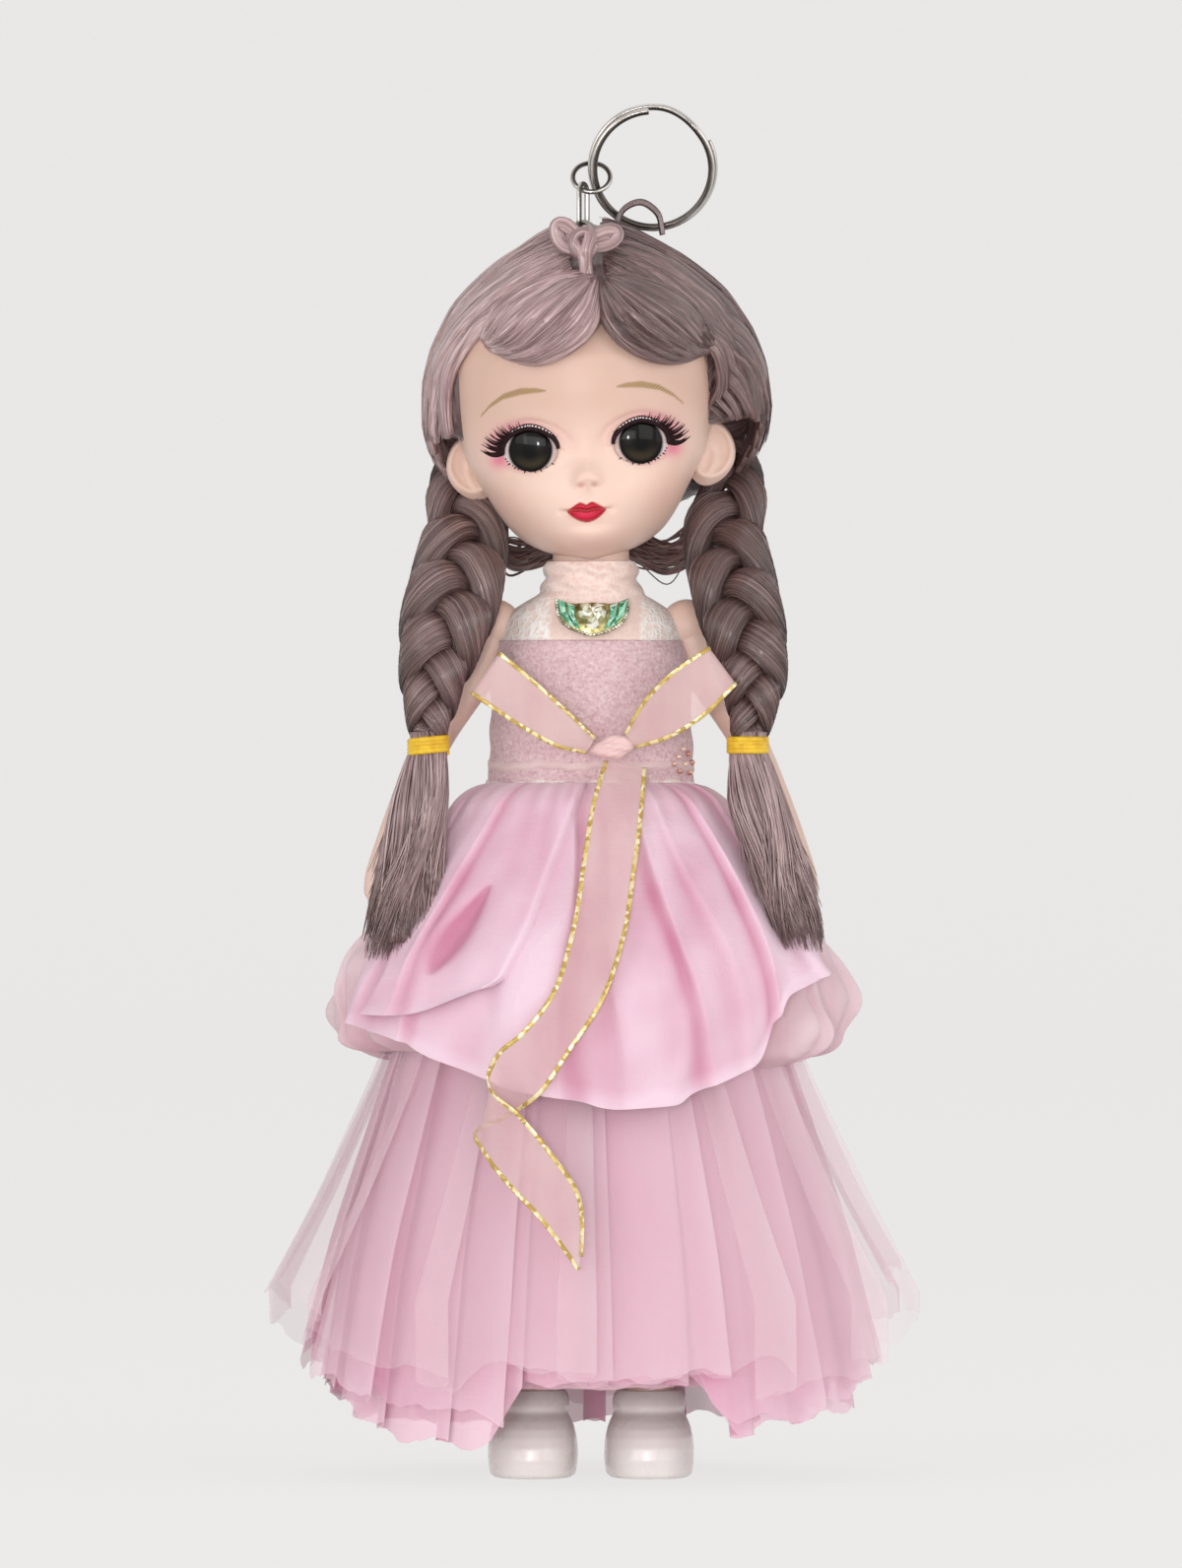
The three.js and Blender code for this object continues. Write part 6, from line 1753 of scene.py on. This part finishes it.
def creased(grid, amount, beat):
    """Small creases: the surface moves in and out by crossing waves of height and turn."""
    x, y, z = np.moveaxis(grid, -1, 0)
    turn = np.arctan2(x, -y)
    waves = np.sin(beat * z + 2.2 * np.sin(3 * turn)) + 0.6 * np.sin(9 * turn + 1.3 * z)
    return pushed(grid, amount * waves)


heights = np.linspace(95.6, 116.3, 90)
thick = 1.95 - 0.6 * step(heights, 113.4, 116.3)[:, None]
bodice_grid = creased(torso_grid(heights, thick, 240), 0.09, 0.9)
top_roll = torso_grid(np.array([116.4, 116.3]), 1.15, 240), torso_grid(np.array([115.4]), 0.7, 240)
bodice = surface("bodice_cloth", np.concatenate([bodice_grid, *top_roll]), around=True, inside=(0, 0, 106))
dress(bodice, brocade, "brocade", "root", "bodice")

heights = np.concatenate([np.linspace(115.6, 122, 50), np.linspace(122.15, 127.4, 60)])
yoke_grid = creased(torso_grid(heights, 1.05, 260), 0.05, 1.1)
x, y, z = np.moveaxis(yoke_grid, -1, 0)
gather = np.sin(2.6 * z + 1.8 * np.sin(2 * np.arctan2(x, -y)) + 0.5 * np.sin(2 * x))
yoke_grid = pushed(yoke_grid, 0.28 * step(z, 121.8, 123.4) * gather)
yoke_grid = np.concatenate([yoke_grid, torso_grid(np.array([127.5, 127.3]), 0.55, 260)])
yoke = surface("yoke_cloth", yoke_grid, around=True, inside=(0, 0, 120))
x, y, z = np.moveaxis(yoke_grid, -1, 0)
panel = step(np.abs(x - 0.6), 6.0, 6.6) * (1 - 0.7 * step(z, 121.4, 123.4))
panel = panel + 0.2 * step(z, 121.4, 122.2) + step(y, -2, 1)
paint(yoke, "panel", np.clip(panel, 0, 1).reshape(-1))
dress(yoke, lace, "lace", "root", "yoke_lace")

# %% Back closure
tape = finish("closure_tape", (246, 234, 238), 0.85)
hooks = noise(tape, spread(tape), 3200, 2)
shade(tape, Base_Color=ramp(tape, hooks, (0.35, (228, 212, 218)), (0.7, (250, 242, 244))),
      Normal=bumped(tape, hooks, 0.8, 0.0003))
strip = torso_grid(np.linspace(98.2, 114.6, 40), 2.9, 24, (np.pi - 0.19, np.pi + 0.19), False)
for edge in (strip[0], strip[-1], strip[:, 0], strip[:, -1]):
    edge[:, 1] -= 0.9
closure = surface("closure_strip", strip, inside=(0, 0, 106))
dress(closure, tape, "closure_tape", "root", "back_closure")

# %% [markdown]
# ## Bow, ribbon and waist trim
# The ribbon is sheer, with a woven gold edge at each side. A loop goes out from the knot, turns and
# comes back behind itself, and the long end falls down the front and folds over once. Each ribbon
# is a sheet between two edge lines, and a raised gold strip runs along both lines.

# %% Ribbon
ribbon_sheer = cloth("ribbon", (222, 180, 184), (238, 208, 206), 3000, 0.58, 0.5, 0.2)
gold_edge = finish("gold_edge", (212, 184, 104), 0.4, Metallic=0.25)
flecks = cells(gold_edge, spread(gold_edge), 1500, output="Color")
sparkle = level(gold_edge, node(gold_edge, "ShaderNodeSeparateXYZ", n0=flecks).outputs[0], 0.1, 0.9)
shade(gold_edge, Base_Color=ramp(gold_edge, sparkle, (0.1, (184, 152, 74)), (0.5, (218, 192, 112)),
                                 (0.9, (246, 234, 188))),
      Normal=bumped(gold_edge, sparkle, 0.8, 0.0003), Roughness=level(gold_edge, sparkle, 0, 1, 0.5, 0.22))


def band_between(first, second, bow):
    """A sheet between two lines, arched forwards by a half sine."""
    u = np.linspace(0, 1, 14)
    grid = first[:, None] + (second - first)[:, None] * u[None, :, None]
    grid[..., 1] -= bow * np.sin(np.pi * u)[None]
    return grid


def edge_strip(line, inner, wide=0.33, thick=0.12):
    """A flat gold strip just inside a ribbon's edge."""
    across = unit(inner - line)
    centre = line + across * wide * 0.9
    out = np.cross(unit(np.gradient(line, axis=0)), across)
    return swept(centre, wide, thick, out, columns=10)


def ribbon(name, first, second, node_name, count, bow):
    """Ribbon between two edge lines given by a few places, with its gold strips."""
    first, second = curve(first, count), curve(second, count)
    sheet = surface(name, band_between(first, second, bow), inside=(0, 20, 100))
    dress(sheet, ribbon_sheer, "ribbon", "root", node_name)
    strips = np.array([edge_strip(first, second), edge_strip(second, first)])
    dress(solid(f"{name}_gold", strips), gold_edge, "ribbon", "root")


loop_edges = {
    "left": ([(0.6, -13.6, 102.8), (-2.7, -15.2, 106.1), (-7.9, -17.0, 110.8), (-12.2, -17.8, 114.4)],
             [(-0.8, -13.6, 100.6), (-4.6, -15.4, 101.4), (-9.8, -17.2, 104.2), (-16.2, -17.6, 108.5)]),
    "right": ([(4.6, -13.6, 103.4), (7.3, -15.4, 108.0), (11.0, -17.4, 111.8), (15.8, -18.4, 115.1)],
              [(6.4, -13.6, 101.4), (10.6, -15.8, 102.6), (15.3, -17.8, 105.4), (19.8, -18.6, 109.7)]),
}


def there_and_back(line):
    """A loop's edge: out along the front, round the tip and back 2.4 mm behind."""
    line = np.array(line)
    out = unit(line[-1] - line[-2])
    tip = line[-1] + out * 0.5 + (0, 1.0, 0)
    back = line[::-1] + (0, 2.0, 0)
    back[-1] = line[0] + (0.1, 0.5, 0.1)
    return np.concatenate([line, [tip], back])


for side, (upper, lower) in loop_edges.items():
    ribbon(f"bow_{side}", there_and_back(upper), there_and_back(lower), f"bow_loop_{side}", 70, 0.35)

tail_edges = np.array([
    (1.8, 99.6, 7.7, 98.6), (0.1, 93.8, 7.0, 91.0), (-1.3, 85.2, 6.1, 84.2), (-2.6, 76.9, 4.8, 75.9),
    (-5.5, 67.7, 1.7, 66.7), (-9.6, 62.4, -2.8, 59.8), (-12.7, 59.8, -6.9, 53.9), (-13.9, 57.6, -11.7, 50.5),
    (-14.2, 56.0, -16.0, 48.3), (-13.1, 54.0, -14.9, 45.9), (-9.9, 51.4, -12.4, 42.5),
    (-5.1, 45.7, -7.6, 37.5),
    (-1.7, 40.7, -4.7, 34.0), (-1.1, 36.7, -2.8, 31.5), (-1.4, 32.3, -1.7, 30.0),
])


def front_of(x, z):
    """How far the skirt reaches forwards at a place of the front view."""
    drop = skirt_top - z
    front = np.full(np.shape(x), 11.5)
    for name, order, longest, out in (("outer", 2, 71, 2.0), ("middle", 1.5, 84, 2.0), ("puff", 3, 40, 2.0),
                                      ("drape", 4, 45.5, 3.2)):
        wide = layer_width(flares[name], order, np.clip(drop, 0, longest))
        deep = layer_depth(wide, drop) + out
        reach = deep * np.sqrt(np.maximum(0, 1 - (x / wide) ** 2))
        front = np.where((drop > -0.5) & (drop < longest), np.maximum(front, reach), front)
    return front


def tail_line(column):
    """One edge of the hanging ribbon, on top of whatever lies below it."""
    x, z = tail_edges[:, column], tail_edges[:, column + 1]
    y = -front_of(x, z) - 0.9 - 0.9 * (np.arange(len(x)) > 8)
    y = np.minimum(y, np.convolve(np.pad(y, 1, "edge"), [0.25, 0.5, 0.25], "valid"))
    y[0] = -12.4
    return np.stack([x, y, z], -1)


ribbon("ribbon_tail", tail_line(0), tail_line(2), "bow_tail", 180, 0.25)

# %% Knot, sash and trim
knot_middle = np.array([3.0, -12.6, 101.5])


def bow_knot(rows=60, columns=90):
    """The knot: a squashed ball with pleats that run over it and draw in at both sides."""
    grid = ball_grid((0, 0, 0), 1.0, rows, columns)
    x, y, z = grid[..., 2], grid[..., 1], grid[..., 0]
    folds = 1 + 0.07 * np.sin(8 * z + 5 * x + 1) + 0.03 * np.sin(17 * z - 7 * x)
    pinch = 1 - 0.35 * x**2 + 0.12 * x
    return knot_middle + np.stack([3.3 * x, 1.6 * y * folds * pinch, 1.65 * z * folds * pinch + 0.5 * x], -1)


knot_cloth = cloth("knot_ribbon", (222, 178, 180), (240, 210, 205), 2600, 1.0, 0.65, 0.25, rumple=0.6)
dress(solid("bow_centre", bow_knot()), knot_cloth, "ribbon", "root", "bow_knot")


def waist_ring(name, heights, outs, middle):
    """A ring round the waist from heights and how far each stands out of the bodice."""
    grid = np.array([torso_grid(np.array([z]), 1.95 + out, 420)[0] for z, out in zip(heights, outs)])
    turn = np.arctan2(grid[..., 0], -grid[..., 1])
    grid[..., 2] += 0.2 * np.sin(turn * 7) + 0.12 * np.sin(turn * 23)
    return surface(name, grid, around=True, inside=(0, 0, middle))


sash_cloth = cloth("sash", (222, 190, 192), (240, 216, 214), 2600, 1.0, 0.6, 0.25)
sash_piece = waist_ring("sash_band", (98.3, 98.4, 98.9, 99.5, 99.6), (-0.1, 0.1, 0.16, 0.1, -0.1), 98.9)
dress(sash_piece, sash_cloth, "ribbon", "root", "waist_sash")
trim_piece = waist_ring("waist_trim", (95.4, 95.5, 96.0, 96.6, 96.8), (-0.1, 0.3, 0.45, 0.3, -0.1), 96.2)
paint(trim_piece, "panel", np.ones(len(trim_piece.data.vertices)))
dress(trim_piece, lace, "lace", "root")

# %% Beads and stones
gold_plate = finish("brooch_metal", (176, 158, 96), 0.3, Metallic=0.7)
bead_gloss = finish("pave_beads", (190, 184, 160), 0.15, Metallic=0.5, Coat_Weight=0.8, Coat_Roughness=0.05)
pink_gold = finish("waist_beads", (226, 186, 160), 0.2, Metallic=0.4, Coat_Weight=0.8, Coat_Roughness=0.08)
for metal, size, detail, dark, light in ((gold_plate, 1500, 2, (104, 94, 48), (190, 180, 126)),
                                         (bead_gloss, 900, 1, (112, 108, 84), (232, 228, 212)),
                                         (pink_gold, 800, 1, (198, 140, 124), (246, 222, 204))):
    shade(metal, Base_Color=clouded(metal, size, detail, (0.35, dark), (0.65, light)))


def stone_finish(name, dark, mid, bright):
    """Cut glass: each facet carries its own light as a painted number, under a clear coat."""
    made = finish(name, mid, 0.12, Coat_Weight=1.0, Coat_Roughness=0.03, Coat_IOR=1.7)
    flash = nudged(made, attribute(made, "facet", "Fac"), noise(made, spread(made), 1400, 2), 0.5, 0.15)
    shade(made, Base_Color=ramp(made, flash, (0.1, dark), (0.5, mid), (0.85, bright)))
    return made


green_glass = stone_finish("green_stone", (16, 104, 68), (84, 190, 146), (190, 236, 214))
clear_glass = stone_finish("clear_stone", (120, 112, 62), (190, 186, 146), (250, 249, 240))


def from_brooch(points):
    """The brooch's frame in the doll's: x across, z up and the height towards the front, leant back
    by 20 degrees."""
    x, z, high = np.moveaxis(np.asarray(points, float), -1, 0)
    lean = math.radians(20)
    return np.stack([0.2 + x, -8.75 - high * math.cos(lean) + z * math.sin(lean),
                     119.6 + high * math.sin(lean) + z * math.cos(lean)], -1)


def cut_stone(outline, middle, low, high, seed):
    """A faceted stone: rings of the outline drawn in by shares up to the table, in triangles that
    share no points, so that every facet is flat."""
    outline, middle = np.asarray(outline, float), np.asarray(middle, float)
    rings = []
    for share, rise in ((0.94, 0), (1.0, 0.3), (0.7, 0.85), (0.4, 1)):
        height = np.full(len(outline), low + rise * (high - low))
        rings.append(np.column_stack([middle + (outline - middle) * share, height]))
    corners = []
    for lower, upper in zip(rings[:-1], rings[1:]):
        after, above = np.roll(lower, -1, 0), np.roll(upper, -1, 0)
        corners += [np.stack([lower, after, upper], 1), np.stack([after, above, upper], 1)]
    for first, second, height in ((rings[-1], np.roll(rings[-1], -1, 0), high),
                                  (np.roll(rings[0], -1, 0), rings[0], low)):
        corners.append(np.stack([first, second, 0 * first + (*middle, height)], 1))
    triangles = from_brooch(np.concatenate(corners))
    chance = np.random.default_rng(seed).random(len(triangles))
    return triangles, np.repeat(chance, 3)


def stones(name, cuts, material, slot_name, *nodes):
    """Several cut stones as one piece."""
    triangles = np.concatenate([cut for cut, _ in cuts])
    rows = np.arange(len(triangles) * 3).reshape(-1, 3)
    outward = np.cross(triangles[:, 1] - triangles[:, 0], triangles[:, 2] - triangles[:, 0])
    middle = np.concatenate([np.broadcast_to(cut.mean((0, 1)), (len(cut), 3)) for cut, _ in cuts])
    flip = ((triangles.mean(1) - middle) * outward).sum(-1) < 0
    rows[flip] = rows[flip][:, ::-1]
    made = link_mesh(name, triangles.reshape(-1, 3), rows, np.empty((0, 4), int))
    paint(made, "facet", np.concatenate([light for _, light in cuts]))
    dress(made, material, slot_name, "root", *nodes)


half_heart = [(0, -2.3), (-0.95, -1.5), (-1.7, -0.5), (-1.95, 0.5), (-1.75, 1.4), (-1.05, 1.8), (-0.4, 1.6)]
heart_line = half_heart + [(0, 1.25)] + [(-x, z) for x, z in half_heart[:0:-1]]
heart = cut_stone(heart_line, (0, 0.1), 0.55, 1.75, 5)
stones("heart_stone", [heart], clear_glass, "clear_stone", "brooch_heart")
wing_line = np.array([(2.35, 1.35), (5.0, 2.5), (4.6, 0.2), (3.2, -1.5), (1.7, -2.1), (2.35, -0.5)])
for side, sign in signs.items():
    cuts = []
    for i, (first, last) in enumerate(((0.02, 0.46), (0.54, 0.98))):
        inner, outer = wing_line[[0, 5, 4]], wing_line[[1, 2, 3]]
        top = inner + (outer - inner) * first
        far = inner + (outer - inner) * last
        line = np.concatenate([top, far[::-1]]) * (sign, 1)
        cuts.append(cut_stone(line, line.mean(0), 0.5, 1.35, 7 + i + (sign > 0) * 5))
    stones(f"wing_stones_{side}", cuts, green_glass, "green_stone", f"brooch_wing_{side}")

plate_line = np.array([(0, -3), (-1.7, -2.6), (-3.3, -1.9), (-4.3, -1.1), (-4.9, 0), (-5.15, 1.2),
                       (-5.2, 2.35), (-2.6, 1.8),
                       (0, 2.0), (2.6, 1.8), (5.2, 2.35), (5.15, 1.2), (4.9, 0), (4.3, -1.1), (3.3, -1.9),
                       (1.7, -2.6)])
plate_rows = [np.column_stack([plate_line * share, np.full(16, high)])
              for share, high in ((0.97, 0.0), (1.0, 0.15), (1.0, 0.45), (0.95, 0.6))]
plate = solid("brooch_back", from_brooch(np.array(plate_rows)))
dress(plate, gold_plate, "brooch_metal", "root", "brooch_plate")


def beads(name, places, radius, material, slot_name):
    """Small balls as one piece."""
    made = solid(name, np.array([ball_grid(place, radius, 9, 12) for place in places]))
    dress(made, material, slot_name, "root")


rim_places = np.roll(plate_line, 6, 0)[12::-1]
rim_line = curve([(*place, 0.62, 0) for place in rim_places], 34)
beads("pave_beads", from_brooch(rim_line[:, :3] * (0.96, 0.96, 1)), 0.27, bead_gloss, "brooch_metal")
bead_spots = [(12.2, 100.2), (13.2, 99.2), (12.4, 98.2), (13.8, 98.0), (13.6, 100.6), (11.6, 99.2),
              (12.9, 101.3),
              (14.1, 99.4)]
bead_depth = [(x, -8.95 * math.sqrt(max(0.0, 1 - (x / 14.4) ** 2)) - 0.3, z) for x, z in bead_spots]
beads("waist_beads", bead_depth, 0.42, pink_gold, "brooch_metal")
